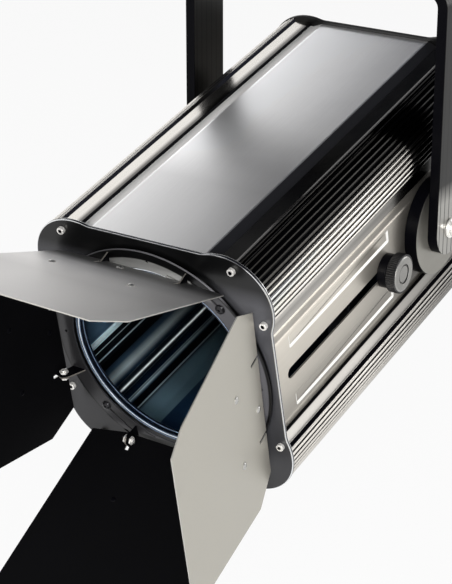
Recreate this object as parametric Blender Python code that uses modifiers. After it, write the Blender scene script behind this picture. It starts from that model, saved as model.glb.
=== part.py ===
# Stage wash light: extruded lamp housing, focus slide, four-leaf barndoor and yoke.
# The model hangs from the top of its yoke, which is the origin, with +Z up.
# Lamp frame: origin at the centre of the front plate's front face, +Y to the rear,
# +X to the side with the focus knob, +Z up when the beam is level.
import math

import bmesh
import bpy
from mathutils import Matrix, Vector

GAP = 0.0003

# Front and rear plates
PLATE_HALF_WIDTH = 0.147
PLATE_HALF_HEIGHT = 0.151
PLATE_CORNER_X = 0.0938
PLATE_CORNER_Z = 0.0958
PLATE_CORNER_RADIUS = 0.0585
PLATE_BLEND_RADIUS = 0.030
PLATE_THICKNESS = 0.004
APERTURE_RADIUS = 0.115
HOUSING_LENGTH = 0.505

# Corner extrusions
TOP_BAND = 0.147
SIDE_BAND = 0.145
WALL = 0.0025
TOP_LIP_X = 0.090
SIDE_LIP_Z = 0.064
TOP_BAND_END = 0.1095
SIDE_BAND_END = 0.0815
FIN_RADIUS = 0.0575
FIN_DEPTH = 0.004
FIN_COUNT = 13
FIN_FIRST_ANGLE = math.radians(70.1)
FIN_LAST_ANGLE = math.radians(-12.1)
FIN_FILL = 0.644
BOSS_WIDTH = 0.010

# Folded panels
PANEL_WALL = 0.002
PANEL_DROP = 0.005
PANEL_TONGUE = 0.013
TOP_PANEL_FLAT = 0.074
TOP_PANEL_SLOPE = 0.012
SIDE_PANEL_PLANE = 0.145
SIDE_PANEL_FLAT = 0.050
SIDE_PANEL_SLOPE = 0.005
EMBOSS_DEPTH = 0.001
EMBOSS_LOW = 0.0296
EMBOSS_HIGH = 0.046
EMBOSS_FRONT = 0.032
EMBOSS_REAR = 0.253

# Plate screws
SCREW_X_TOP = 0.109
SCREW_Z_TOP = 0.1396
SCREW_X_SIDE = 0.1402
SCREW_Z_SIDE = 0.0802
SCREW_RADIUS = 0.0024
SCREW_HOLE_RADIUS = 0.0027
SCREW_LENGTH = 0.018
SCREW_HEAD_RADIUS = 0.00425
SCREW_HEAD_HEIGHT = 0.005

# Front glass and its gasket
GLASS_THICKNESS = 0.005
GASKET_WEB = 0.0024
GASKET_LIP = 0.0015
GASKET_OVERLAP = 0.0021
GLASS_OVERLAP = 0.0028

# Barndoor ring, from its inner edge outward
RING_MARGIN = 0.0025
RING_INNER_LAND = 0.0081
RING_OUTER_LAND = 0.009
RING_FRONT = -0.0062
RING_WALL = 0.002
RING_REST_SPIN = math.radians(1.5)
RING_SLOT_SPAN = math.radians(18.0)
RING_SCREW_SHANK = 0.0024
RING_SCREW_SPACER = 0.005
RING_SCREW_HEAD = 0.006
RING_SCREW_DOME = 0.0029
RING_SCREW_THREAD = 0.002
RING_SIGHT_HOLE = 0.0015
RING_INNER = APERTURE_RADIUS + RING_MARGIN
RING_SLOT_HALF_WIDTH = RING_SCREW_SHANK + GAP
RING_SLOT_RADIUS = RING_INNER + RING_INNER_LAND + RING_SLOT_HALF_WIDTH
RING_OUTER = RING_SLOT_RADIUS + RING_SLOT_HALF_WIDTH + RING_OUTER_LAND

# Barndoor hinges and leaves
HINGE_Y = -0.024
HINGE_INSET_TOP = 0.023
HINGE_INSET_SIDE = 0.013
HINGE_REACH_TOP = RING_OUTER - HINGE_INSET_TOP
HINGE_REACH_SIDE = RING_OUTER - HINGE_INSET_SIDE
EAR_X = 0.050
EAR_WALL = 0.002
EAR_RADIUS = 0.0065
EAR_INNER_LAND = 0.0033
EAR_OUTER_LAND = 0.0026
EAR_FOOT_IN = math.sqrt((RING_INNER + EAR_INNER_LAND) ** 2 - EAR_X ** 2)
EAR_FOOT_OUT = math.sqrt((RING_OUTER - EAR_OUTER_LAND) ** 2 - EAR_X ** 2)
LUG_WALL = 0.0015
HINGE_BOLT_RADIUS = 0.003
HINGE_BOLT_HEAD = 0.0055
HINGE_BOLT_HEAD_HEIGHT = 0.003
HINGE_BOLT_TAIL = 0.002
LEAF_WALL = 0.0015
LEAF_OFFSET = 0.00775
LEAF_SETBACK = 0.010
LEAF_SLOT_OUT = 0.0025
LEAF_SLOT_LENGTH = 0.020
TOP_LEAF_OPEN = math.radians(28.0)
SIDE_LEAF_OPEN = math.radians(11.4)
TOP_LEAF_HALF = (0.060, 0.104, 0.130, 0.112)
TOP_LEAF_REACH = (-LEAF_SETBACK, -0.002, 0.210, 0.247)
SIDE_LEAF_HALF = (0.106, 0.128, 0.110, 0.095)
SIDE_LEAF_REACH = (-LEAF_SETBACK, 0.028, 0.185, 0.215)

# Focus slide
FOCUS_Y = 0.239
SLOT_HALF_WIDTH = 0.0067
SLOT_FRONT = 0.0224
SLOT_REAR = 0.249
ROD_RADIUS = 0.006
ROD_CLEARANCE = 0.0009
ROD_ANGLE = math.radians(44.7)
ROD_REACH = APERTURE_RADIUS - GAP + GASKET_OVERLAP + ROD_CLEARANCE + ROD_RADIUS
ROD_X = ROD_REACH * math.cos(ROD_ANGLE)
ROD_Z = -ROD_REACH * math.sin(ROD_ANGLE)
BLOCK_SIZE = 0.026
BLOCK_LENGTH = 0.050
DECK_LAP = 0.005
DECK_WALL = 0.004
DECK_FRONT = -0.025
UPRIGHT_WALL = 0.004
UPRIGHT_HALF_WIDTH = 0.012
STUD_RADIUS = 0.004
STUD_HEAD_RADIUS = 0.007
STUD_HEAD_LENGTH = 0.004
SLIDER_RADIUS = 0.020
SLIDER_THICKNESS = 0.0117
KNOB_RADIUS = 0.023
KNOB_LENGTH = 0.0127
KNOB_TEETH = 44
KNOB_TOOTH = 0.0007
KNOB_BORE_DEPTH = 0.009
KNOB_DISH_RADIUS = 0.011
KNOB_DISH_DEPTH = 0.0012

# Lamp, lampholder and reflector
HOLDER_SIZE = (0.050, 0.036, 0.030)
LAMP_RADIUS = 0.014
LAMP_CAP_RADIUS = 0.012
LAMP_CAP_HEIGHT = 0.012
LAMP_HEIGHT = 0.067
REFLECTOR_CURVE = 0.060
REFLECTOR_RADIUS = 0.048
REFLECTOR_WALL = 0.002
REFLECTOR_BACK = 0.045
BRACKET_HALF_WIDTH = 0.010
BRACKET_TOP = -0.024
BRACKET_WALL = 0.003

# Rear compartment
BULKHEAD_Y = 0.312
BULKHEAD_WALL = 0.003
BULKHEAD_HALF = 0.130
BULKHEAD_CORNER = 0.030
BULKHEAD_TAB_X = 0.070
BULKHEAD_TAB_Z = 0.045
BALLAST_WIDTH = 0.140
BALLAST_HEIGHT = 0.094
BALLAST_FRONT_SPACE = 0.035
FAN_SIZE = 0.080
FAN_DEPTH = 0.025
FAN_Z = 0.026
FAN_BORE = 0.037
FAN_HUB = 0.016
FAN_BLADES = 7
FAN_BLADE_RADIUS = 0.035
FAN_BLADE_WIDTH = 0.016
FAN_BLADE_WALL = 0.0016
FAN_STRUT = 0.004
GRILLE_SLOTS = 9
GRILLE_PITCH = 0.008
GRILLE_HALF_LENGTH = 0.032
GRILLE_HALF_WIDTH = 0.002
INLET_X = -0.085
INLET_Z = -0.085
INLET_RADIUS = 0.011
INLET_FLANGE = 0.015
INLET_RIM = 0.005
INLET_RECESS = 0.011
INLET_BODY = 0.024

# Yoke and tilt pivot
TILT_REST = math.radians(13.13)
PIVOT_Y = 0.345
YOKE_RISE = 0.290
YOKE_WIDTH = 0.064
YOKE_THICKNESS = 0.0125
YOKE_CORNER = 0.025
BOSS_RADIUS = 0.0587
BOSS_FACE = 0.161
PIVOT_RADIUS = 0.008
PIVOT_FLANGE_RADIUS = 0.012
PIVOT_FLANGE_HEIGHT = 0.0024
PIVOT_CAP_RADIUS = 0.009
PIVOT_CAP_HEIGHT = 0.0065
PIVOT_NUT_RADIUS = 0.014
PIVOT_NUT_HEIGHT = 0.0067
CLAMP_HOLE_RADIUS = 0.0065
CLAMP_HOLE_X = 0.045
TILT_KNOB_RADIUS = 0.030
TILT_KNOB_LENGTH = 0.0256
TILT_KNOB_LOBES = 6
TILT_KNOB_LOBE = 0.003
TILT_STUD_LENGTH = 0.016

ROUND_STEPS = 48
SMALL_STEPS = 12
SCREW_STEPS = 10

CORNERS = (("top_right", 1, 1), ("top_left", -1, 1), ("bottom_right", 1, -1), ("bottom_left", -1, -1))
PLACES = (("top", 0), ("right", 90), ("bottom", 180), ("left", 270))

FRONT_PLANE = Matrix.Rotation(math.radians(90), 4, "X")
SIDE_PLANE = Matrix(((0, 0, 1, 0), (1, 0, 0, 0), (0, 1, 0, 0), (0, 0, 0, 1)))
TOP_PLANE = Matrix.Identity(4)


# Scene, materials and basic shapes

def clear_scene():
    for item in list(bpy.data.objects):
        bpy.data.objects.remove(item, do_unlink=True)


def new_collection(name):
    group = bpy.data.collections.new(name)
    bpy.context.scene.collection.children.link(group)
    return group


def make_finish(name, colour, roughness, metallic):
    finish = bpy.data.materials.new(name)
    finish.use_nodes = True
    shader = finish.node_tree.nodes["Principled BSDF"]
    shader.inputs["Base Color"].default_value = (*colour, 1)
    shader.inputs["Roughness"].default_value = roughness
    shader.inputs["Metallic"].default_value = metallic
    return finish


clear_scene()
PARTS = new_collection("wash_light")
CUTTERS = new_collection("cutters")

ALUMINIUM = make_finish("satin_aluminium", (0.55, 0.53, 0.49), 0.32, 1.0)
SHEET = make_finish("warm_grey_sheet", (0.46, 0.44, 0.40), 0.38, 0.8)
PLATE_PAINT = make_finish("dark_grey_plate", (0.10, 0.10, 0.105), 0.42, 0.3)
LEAF_PAINT = make_finish("leaf_grey", (0.22, 0.215, 0.21), 0.45, 0.5)
STEEL = make_finish("zinc_steel", (0.62, 0.60, 0.56), 0.3, 1.0)
BLACK_PLASTIC = make_finish("black_plastic", (0.02, 0.02, 0.022), 0.5, 0.0)
RUBBER = make_finish("black_rubber", (0.015, 0.015, 0.017), 0.7, 0.0)
GLASS = make_finish("clear_glass", (0.75, 0.85, 0.9), 0.02, 0.0)
MIRROR = make_finish("bright_reflector", (0.85, 0.85, 0.86), 0.08, 1.0)
CERAMIC = make_finish("white_ceramic", (0.8, 0.78, 0.72), 0.5, 0.0)
YOKE_PAINT = make_finish("dark_yoke", (0.16, 0.16, 0.155), 0.4, 0.6)


def empty(name, parent, location=(0, 0, 0), rotation=(0, 0, 0)):
    frame = bpy.data.objects.new(name, None)
    PARTS.objects.link(frame)
    frame.parent = parent
    frame.location = location
    frame.rotation_euler = rotation
    return frame


def place(piece, parent, plane, location):
    piece.parent = parent
    piece.matrix_basis = Matrix.Translation(Vector(location)) @ plane


def add_object(name, mesh, finish, group=PARTS):
    piece = bpy.data.objects.new(name, mesh)
    group.objects.link(piece)
    if finish is not None:
        mesh.materials.append(finish)
    return piece


def outline_mesh(name, loops, thickness):
    """Flat outline with holes, filled and thickened by half to each side."""
    curve = bpy.data.curves.new(name, "CURVE")
    curve.dimensions = "2D"
    curve.fill_mode = "BOTH"
    curve.extrude = thickness / 2
    for loop in loops:
        spline = curve.splines.new("POLY")
        spline.points.add(len(loop) - 1)
        for point, (x, y) in zip(spline.points, loop):
            point.co = (x, y, 0, 1)
        spline.use_cyclic_u = True
    source = bpy.data.objects.new(name + "_outline", curve)
    CUTTERS.objects.link(source)
    graph = bpy.context.evaluated_depsgraph_get()
    mesh = bpy.data.meshes.new_from_object(source.evaluated_get(graph))
    bpy.data.objects.remove(source, do_unlink=True)
    shape = bmesh.new()
    shape.from_mesh(mesh)
    bmesh.ops.remove_doubles(shape, verts=shape.verts, dist=0.000001)
    bmesh.ops.recalc_face_normals(shape, faces=shape.faces)
    shape.to_mesh(mesh)
    shape.free()
    mesh.name = name
    return mesh


def outline_solid(name, loops, thickness, finish, parent, plane, location):
    piece = add_object(name, outline_mesh(name, loops, thickness), finish)
    place(piece, parent, plane, location)
    return piece


def signed_area(points):
    pairs = zip(points, points[1:] + points[:1])
    return sum(a[0] * b[1] - b[0] * a[1] for a, b in pairs) / 2


def turned(name, profile, finish, parent, plane, location, closed=False, steps=ROUND_STEPS):
    """Profile of radius and height, swept round the local Z axis."""
    points = list(profile)
    if signed_area(points) > 0:
        points.reverse()
    edges = [(i, i + 1) for i in range(len(points) - 1)]
    if closed:
        edges.append((len(points) - 1, 0))
    mesh = bpy.data.meshes.new(name)
    mesh.from_pydata([(r, 0, h) for r, h in points], edges, [])
    piece = add_object(name, mesh, finish)
    sweep = piece.modifiers.new("Turn", "SCREW")
    sweep.axis = "Z"
    sweep.angle = math.tau
    sweep.steps = steps
    sweep.render_steps = steps
    sweep.use_merge_vertices = True
    sweep.merge_threshold = 0.00001
    place(piece, parent, plane, location)
    return piece


def box(name, size, finish, parent, location):
    bpy.ops.mesh.primitive_cube_add(size=1)
    piece = bpy.context.active_object
    piece.name = name
    piece.data.name = name
    for group in piece.users_collection:
        group.objects.unlink(piece)
    PARTS.objects.link(piece)
    piece.data.transform(Matrix.Diagonal((*size, 1)))
    piece.data.materials.append(finish)
    place(piece, parent, TOP_PLANE, location)
    return piece


def as_tool(piece):
    for group in piece.users_collection:
        group.objects.unlink(piece)
    CUTTERS.objects.link(piece)
    piece.hide_render = True
    piece.display_type = "WIRE"
    return piece


def combine(target, tool, operation):
    step = target.modifiers.new(tool.name, "BOOLEAN")
    step.operation = operation
    step.solver = "EXACT"
    step.object = as_tool(tool)


def join(target, tool):
    combine(target, tool, "UNION")


def cut(target, tool):
    combine(target, tool, "DIFFERENCE")


def circle(cx, cy, radius, count=SMALL_STEPS):
    turns = [math.tau * i / count for i in range(count)]
    return [(cx + radius * math.cos(a), cy + radius * math.sin(a)) for a in turns]


def arc(cx, cy, radius, start, end, count):
    turns = [start + (end - start) * i / count for i in range(count + 1)]
    return [(cx + radius * math.cos(a), cy + radius * math.sin(a)) for a in turns]


def rectangle(x0, x1, y0, y1):
    return [(x0, y0), (x1, y0), (x1, y1), (x0, y1)]


def stadium(x0, x1, y, half_width, count=6):
    """Slot along x with round ends."""
    right = arc(x1 - half_width, y, half_width, -math.pi / 2, math.pi / 2, count)
    left = arc(x0 + half_width, y, half_width, math.pi / 2, 3 * math.pi / 2, count)
    return right + left


def flip(points, sx, sy):
    return [(x * sx, y * sy) for x, y in points]


def four_fold(quarter):
    """Closed outline from the quarter that runs clockwise from the top middle to the right middle."""
    right_low = flip(quarter, 1, -1)[::-1]
    left_low = flip(quarter, -1, -1)
    left_high = flip(quarter, -1, 1)[::-1]
    return quarter + right_low + left_low + left_high


# Housing

def plate_outline():
    """Square plate whose round corners swell past its flat sides, with hollow blends between."""
    blend = PLATE_BLEND_RADIUS
    reach = PLATE_CORNER_RADIUS + blend
    top_turn = math.acos((PLATE_HALF_HEIGHT + blend - PLATE_CORNER_Z) / reach)
    side_turn = math.acos((PLATE_HALF_WIDTH + blend - PLATE_CORNER_X) / reach)
    top_x = PLATE_CORNER_X - reach * math.sin(top_turn)
    side_z = PLATE_CORNER_Z - reach * math.sin(side_turn)
    into = arc(top_x, PLATE_HALF_HEIGHT + blend, blend, -math.pi / 2, top_turn - math.pi / 2, 2)
    corner = arc(PLATE_CORNER_X, PLATE_CORNER_Z, PLATE_CORNER_RADIUS, math.pi / 2 + top_turn, -side_turn, 14)
    away = arc(PLATE_HALF_WIDTH + blend, side_z, blend, math.pi - side_turn, math.pi, 2)
    return four_fold(into[:-1] + corner + away[1:])


def screw_places():
    """Centres of the eight plate screws, in the front view."""
    top = [(sx * SCREW_X_TOP, sz * SCREW_Z_TOP) for sz in (1, -1) for sx in (1, -1)]
    side = [(sx * SCREW_X_SIDE, sz * SCREW_Z_SIDE) for sx in (1, -1) for sz in (1, -1)]
    return top + side


def ring_screw_places():
    reach = RING_SLOT_RADIUS * math.sqrt(0.5)
    return [(sx * reach, sz * reach) for sz in (1, -1) for sx in (1, -1)]


def front_plate(parent):
    loops = [plate_outline(), circle(0, 0, APERTURE_RADIUS, ROUND_STEPS)]
    loops += [circle(x, z, SCREW_HOLE_RADIUS, 12) for x, z in screw_places()]
    loops += [circle(x, z, RING_SCREW_THREAD + GAP, 12) for x, z in ring_screw_places()]
    outline_solid("front_plate", loops, PLATE_THICKNESS, PLATE_PAINT, parent, FRONT_PLANE,
                  (0, PLATE_THICKNESS / 2, 0))


def rear_plate(parent):
    loops = [plate_outline()]
    loops += [circle(x, z, SCREW_HOLE_RADIUS, 12) for x, z in screw_places()[:4]]
    for i in range(GRILLE_SLOTS):
        z = FAN_Z + (i - (GRILLE_SLOTS - 1) / 2) * GRILLE_PITCH
        loops.append(stadium(-GRILLE_HALF_LENGTH, GRILLE_HALF_LENGTH, z, GRILLE_HALF_WIDTH, 3))
    loops.append(circle(INLET_X, INLET_Z, INLET_RADIUS + GAP, 24))
    y = HOUSING_LENGTH + GAP + PLATE_THICKNESS / 2
    outline_solid("rear_plate", loops, PLATE_THICKNESS, PLATE_PAINT, parent, FRONT_PLANE, (0, y, 0))


def fin_points():
    """Square ribs round the corner, from the top band to the side band."""
    span = FIN_FIRST_ANGLE - FIN_LAST_ANGLE
    pitch = span / (FIN_COUNT - 1 + FIN_FILL)
    root = FIN_RADIUS - FIN_DEPTH
    points = []
    for i in range(FIN_COUNT):
        start = FIN_FIRST_ANGLE - i * pitch
        end = start - FIN_FILL * pitch
        crest = arc(PLATE_CORNER_X, PLATE_CORNER_Z, FIN_RADIUS, start, end, 1)
        points += crest
        if i < FIN_COUNT - 1:
            points += arc(PLATE_CORNER_X, PLATE_CORNER_Z, root, end, start - pitch, 1)
    return points


def extrusion_section():
    """Wall with ribs outside and two screw bosses inside, for the top right corner."""
    inner_radius = FIN_RADIUS - FIN_DEPTH - WALL
    half = BOSS_WIDTH / 2
    tongue_top = TOP_BAND - PANEL_DROP + GAP
    tongue_side = SIDE_PANEL_PLANE - PANEL_DROP + GAP
    outer = [(TOP_LIP_X, tongue_top), (TOP_LIP_X, TOP_BAND), (TOP_BAND_END, TOP_BAND)]
    outer += fin_points()
    outer += [(SIDE_BAND, SIDE_BAND_END), (SIDE_BAND, SIDE_LIP_Z), (tongue_side, SIDE_LIP_Z)]
    side_inner = SIDE_BAND - WALL
    boss_low = SCREW_Z_SIDE - half
    boss_high = SCREW_Z_SIDE + half
    boss_depth = SCREW_X_SIDE - half
    low_angle = math.asin((boss_high - PLATE_CORNER_Z) / inner_radius)
    high_angle = math.acos((SCREW_X_TOP + half - PLATE_CORNER_X) / inner_radius)
    inner = [(tongue_side, SIDE_LIP_Z + WALL), (side_inner, SIDE_LIP_Z + WALL), (side_inner, boss_low),
             (boss_depth, boss_low), (boss_depth, boss_high)]
    inner += arc(PLATE_CORNER_X, PLATE_CORNER_Z, inner_radius, low_angle, high_angle, 8)
    boss_bottom = SCREW_Z_TOP - half
    inner += [(SCREW_X_TOP + half, boss_bottom), (SCREW_X_TOP - half, boss_bottom),
              (SCREW_X_TOP - half, TOP_BAND - WALL), (TOP_LIP_X + WALL, TOP_BAND - WALL),
              (TOP_LIP_X + WALL, tongue_top)]
    return outer + inner


def corner_extrusions(parent):
    length = HOUSING_LENGTH - PLATE_THICKNESS - GAP
    middle = PLATE_THICKNESS + GAP + length / 2
    section = extrusion_section()
    holes = [circle(SCREW_X_TOP, SCREW_Z_TOP, SCREW_HOLE_RADIUS, 12),
             circle(SCREW_X_SIDE, SCREW_Z_SIDE, SCREW_HOLE_RADIUS, 12)]
    for name, sx, sz in CORNERS:
        loops = [flip(loop, sx, sz) for loop in [section] + holes]
        outline_solid("corner_extrusion_" + name, loops, length, ALUMINIUM, parent, FRONT_PLANE,
                      (0, middle, 0))


def folded_section(plane, flat, slope):
    """Sheet with sloped sides and flat tongues; first value across, second out from the middle."""
    low = plane - PANEL_DROP
    reach = flat + slope
    upper = [(-reach - PANEL_TONGUE, low), (-reach, low), (-flat, plane), (flat, plane), (reach, low),
             (reach + PANEL_TONGUE, low)]
    lower = [(x, z - PANEL_WALL) for x, z in upper[::-1]]
    return upper + lower


def panel_length():
    length = HOUSING_LENGTH - PLATE_THICKNESS - GAP
    return length, PLATE_THICKNESS + GAP + length / 2


def top_and_bottom_panels(parent):
    length, middle = panel_length()
    section = folded_section(TOP_BAND, TOP_PANEL_FLAT, TOP_PANEL_SLOPE)
    for name, sz in (("top_panel", 1), ("bottom_panel", -1)):
        outline_solid(name, [flip(section, 1, sz)], length, SHEET, parent, FRONT_PLANE, (0, middle, 0))


def side_panel(name, side, parent, with_slot):
    """Folded side with two pressed panels and, on the knob side, the focus slot."""
    length, middle = panel_length()
    section = folded_section(SIDE_PANEL_PLANE, SIDE_PANEL_FLAT, SIDE_PANEL_SLOPE)
    section = [(side * out, across) for across, out in section]
    panel = outline_solid(name, [section], length, SHEET, parent, FRONT_PLANE, (0, middle, 0))
    press_depth = 2 * EMBOSS_DEPTH
    for sz in (1, -1):
        loop = rectangle(EMBOSS_FRONT, EMBOSS_REAR, sz * EMBOSS_LOW, sz * EMBOSS_HIGH)
        press = outline_solid(name + "_press_%d" % (sz + 1), [loop], press_depth, None, parent,
                              SIDE_PLANE, (side * SIDE_PANEL_PLANE, 0, 0))
        cut(panel, press)
    through = [circle(PIVOT_Y, 0, PIVOT_RADIUS + GAP)]
    if with_slot:
        through.append(stadium(SLOT_FRONT, SLOT_REAR, 0, SLOT_HALF_WIDTH))
    for i, loop in enumerate(through):
        hole = outline_solid(name + "_hole_%d" % i, [loop], 6 * PANEL_WALL, None, parent, SIDE_PLANE,
                             (side * SIDE_PANEL_PLANE, 0, 0))
        cut(panel, hole)


def cap_screw(name, x, z, y, facing, parent):
    """Cap-head screw along Y whose head seats at y; facing is -1 to the front, 1 to the rear."""
    profile = [(0, SCREW_HEAD_HEIGHT), (SCREW_HEAD_RADIUS, SCREW_HEAD_HEIGHT), (SCREW_HEAD_RADIUS, GAP),
               (SCREW_RADIUS, GAP), (SCREW_RADIUS, -SCREW_LENGTH), (0, -SCREW_LENGTH)]
    profile = [(r, -facing * h) for r, h in profile]
    turned(name, profile, STEEL, parent, FRONT_PLANE, (x, y, z), steps=SCREW_STEPS)


def plate_screws(parent):
    for i, (x, z) in enumerate(screw_places()):
        cap_screw("front_screw_%d" % (i + 1), x, z, 0, -1, parent)
    rear = HOUSING_LENGTH + GAP + PLATE_THICKNESS
    for i, (x, z) in enumerate(screw_places()[:4]):
        cap_screw("rear_screw_%d" % (i + 1), x, z, rear, 1, parent)


def glass_and_gasket(parent):
    """Gasket with a groove outside for the plate's edge and one inside for the glass."""
    web_outer = APERTURE_RADIUS - GAP
    web_inner = web_outer - GASKET_WEB
    lip_outer = web_outer + GASKET_OVERLAP
    lip_inner = web_inner - GLASS_OVERLAP
    plate_back = PLATE_THICKNESS + GAP
    glass_back = GLASS_THICKNESS + GAP
    rear = max(plate_back, glass_back) + GASKET_LIP
    front = -GAP - GASKET_LIP
    profile = [(lip_inner, front), (lip_outer, front), (lip_outer, -GAP), (web_outer, -GAP),
               (web_outer, plate_back), (lip_outer, plate_back), (lip_outer, rear), (lip_inner, rear),
               (lip_inner, glass_back), (web_inner, glass_back), (web_inner, -GAP), (lip_inner, -GAP)]
    turned("lens_gasket", [(r, -y) for r, y in profile], RUBBER, parent, FRONT_PLANE, (0, 0, 0), closed=True)
    glass_radius = web_inner - GAP
    disc = [(0, 0), (glass_radius, 0), (glass_radius, -GLASS_THICKNESS), (0, -GLASS_THICKNESS)]
    turned("front_glass", disc, GLASS, parent, FRONT_PLANE, (0, 0, 0))


def ring_screws(parent):
    """Screws through the ring's slots, each with a spacer between the ring and the plate."""
    for i, (x, z) in enumerate(ring_screw_places()):
        head = -RING_FRONT + GAP
        spacer_top = -RING_FRONT - RING_WALL - GAP
        profile = [(0, head + RING_SCREW_DOME), (0.6 * RING_SCREW_HEAD, head + 0.8 * RING_SCREW_DOME),
                   (RING_SCREW_HEAD, head + 0.3 * RING_SCREW_DOME), (RING_SCREW_HEAD, head),
                   (RING_SCREW_SHANK, head), (RING_SCREW_SHANK, spacer_top), (RING_SCREW_SPACER, spacer_top),
                   (RING_SCREW_SPACER, GAP), (RING_SCREW_THREAD, GAP),
                   (RING_SCREW_THREAD, -PLATE_THICKNESS + GAP), (0, -PLATE_THICKNESS + GAP)]
        turned("ring_screw_%d" % (i + 1), profile, STEEL, parent, FRONT_PLANE, (x, 0, z), steps=SCREW_STEPS)


def bulkhead(parent):
    """Inner wall that reaches the four panels with tabs and carries the guide rods."""
    reach_x = SIDE_PANEL_PLANE - PANEL_WALL - GAP
    reach_z = TOP_BAND - PANEL_WALL - GAP
    inner = BULKHEAD_HALF - BULKHEAD_CORNER
    quarter = [(BULKHEAD_TAB_X, reach_z), (BULKHEAD_TAB_X, BULKHEAD_HALF), (inner, BULKHEAD_HALF),
               (BULKHEAD_HALF, inner), (BULKHEAD_HALF, BULKHEAD_TAB_Z), (reach_x, BULKHEAD_TAB_Z)]
    loops = [four_fold(quarter)]
    loops += [circle(sx * ROD_X, ROD_Z, ROD_RADIUS + GAP) for sx in (1, -1)]
    outline_solid("rear_bulkhead", loops, BULKHEAD_WALL, SHEET, parent, FRONT_PLANE,
                  (0, BULKHEAD_Y + BULKHEAD_WALL / 2, 0))


def guide_rods(parent):
    front = PLATE_THICKNESS + GAP
    rear = BULKHEAD_Y + 2 * BULKHEAD_WALL
    for name, sx in (("right", 1), ("left", -1)):
        profile = [(0, -front), (ROD_RADIUS, -front), (ROD_RADIUS, -rear), (0, -rear)]
        turned("guide_rod_" + name, profile, STEEL, parent, FRONT_PLANE, (sx * ROD_X, 0, ROD_Z), steps=24)


def ballast(parent):
    floor = -TOP_BAND + PANEL_WALL + GAP
    front = BULKHEAD_Y + BULKHEAD_WALL + BALLAST_FRONT_SPACE
    rear = HOUSING_LENGTH - FAN_DEPTH
    size = (BALLAST_WIDTH, rear - front, BALLAST_HEIGHT)
    box("ballast", size, BLACK_PLASTIC, parent, (0, (front + rear) / 2, floor + BALLAST_HEIGHT / 2))


def fan(parent):
    """Frame with a rear spider behind the grille, and a rotor that runs in front of it."""
    half = FAN_SIZE / 2
    rear = HOUSING_LENGTH
    loops = [rectangle(-half, half, -half, half), circle(0, 0, FAN_BORE, 32)]
    frame = outline_solid("fan_frame", loops, FAN_DEPTH, BLACK_PLASTIC, parent, FRONT_PLANE,
                          (0, rear - FAN_DEPTH / 2, FAN_Z))
    hub_rear = rear - FAN_STRUT
    spider = outline_solid("fan_spider", [circle(0, 0, FAN_HUB, 24)], FAN_STRUT, None, parent, FRONT_PLANE,
                           (0, rear - FAN_STRUT / 2 - GAP, FAN_Z))
    bar_length = FAN_BORE + FAN_STRUT / 2
    for i in range(3):
        turn = math.tau * i / 3
        bar = outline_solid("fan_bar_%d" % i, [rectangle(0, bar_length, -FAN_STRUT / 2, FAN_STRUT / 2)],
                            FAN_STRUT * 0.8, None, parent, FRONT_PLANE @ Matrix.Rotation(turn, 4, "Z"),
                            (0, rear - FAN_STRUT / 2 - GAP, FAN_Z))
        join(spider, bar)
    join(frame, spider)
    axis = empty("fan_axis", parent, (0, 0, FAN_Z))
    hub_front = rear - FAN_DEPTH + 2 * GAP
    hub = [(0, -hub_front), (FAN_HUB, -hub_front), (FAN_HUB, -hub_rear + 3 * GAP), (0, -hub_rear + 3 * GAP)]
    rotor = turned("fan_rotor", hub, BLACK_PLASTIC, axis, FRONT_PLANE, (0, 0, 0), steps=32)
    blade_middle = (hub_front + hub_rear) / 2
    inner = FAN_HUB * 0.9
    for i in range(FAN_BLADES):
        turn = Matrix.Rotation(math.tau * i / FAN_BLADES, 4, "Y")
        pitch = Matrix.Rotation(math.radians(40), 4, "X")
        loop = rectangle(inner, FAN_BLADE_RADIUS, -FAN_BLADE_WIDTH / 2, FAN_BLADE_WIDTH / 2)
        blade = outline_solid("fan_blade_%d" % i, [loop], FAN_BLADE_WALL, None, axis, TOP_PLANE, (0, 0, 0))
        blade.matrix_basis = Matrix.Translation((0, blade_middle, 0)) @ turn @ pitch
        join(rotor, blade)


def power_inlet(parent):
    """Round panel socket with a recessed mouth, through the rear plate."""
    plate_rear = HOUSING_LENGTH + GAP + PLATE_THICKNESS
    seat = plate_rear + GAP
    mouth = 0.7 * INLET_RADIUS
    rim = seat + INLET_RIM
    floor = rim - INLET_RECESS
    inner_end = seat - INLET_BODY
    profile = [(0, floor), (mouth, floor), (mouth, rim), (INLET_FLANGE, rim), (INLET_FLANGE, seat),
               (INLET_RADIUS, seat), (INLET_RADIUS, inner_end), (0, inner_end)]
    turned("power_inlet", [(r, -y) for r, y in profile], BLACK_PLASTIC, parent, FRONT_PLANE,
           (INLET_X, 0, INLET_Z), steps=24)


# Barndoor

def slot_loop(start, span):
    """Curved slot round the beam axis, in the front view."""
    half = RING_SLOT_HALF_WIDTH
    end = start + span
    outer = arc(0, 0, RING_SLOT_RADIUS + half, start, end, 6)
    far = (RING_SLOT_RADIUS * math.cos(end), RING_SLOT_RADIUS * math.sin(end))
    near = (RING_SLOT_RADIUS * math.cos(start), RING_SLOT_RADIUS * math.sin(start))
    far_cap = arc(*far, half, end, end + math.pi, 4)[1:-1]
    inner = arc(0, 0, RING_SLOT_RADIUS - half, end, start, 6)
    near_cap = arc(*near, half, start + math.pi, start + math.tau, 4)[1:-1]
    return outer + far_cap + inner + near_cap


def ear_loop(reach):
    """Gusset from the ring's face to the hinge bolt; first value along Y, second out from the beam."""
    root = RING_FRONT + RING_WALL / 2
    tip = arc(HINGE_Y, reach, EAR_RADIUS, math.radians(80), math.radians(250), 6)
    return [(root, EAR_FOOT_IN), (root, EAR_FOOT_OUT)] + tip


def hinge_reach(angle):
    return HINGE_REACH_TOP if angle % 180 == 0 else HINGE_REACH_SIDE


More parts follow.
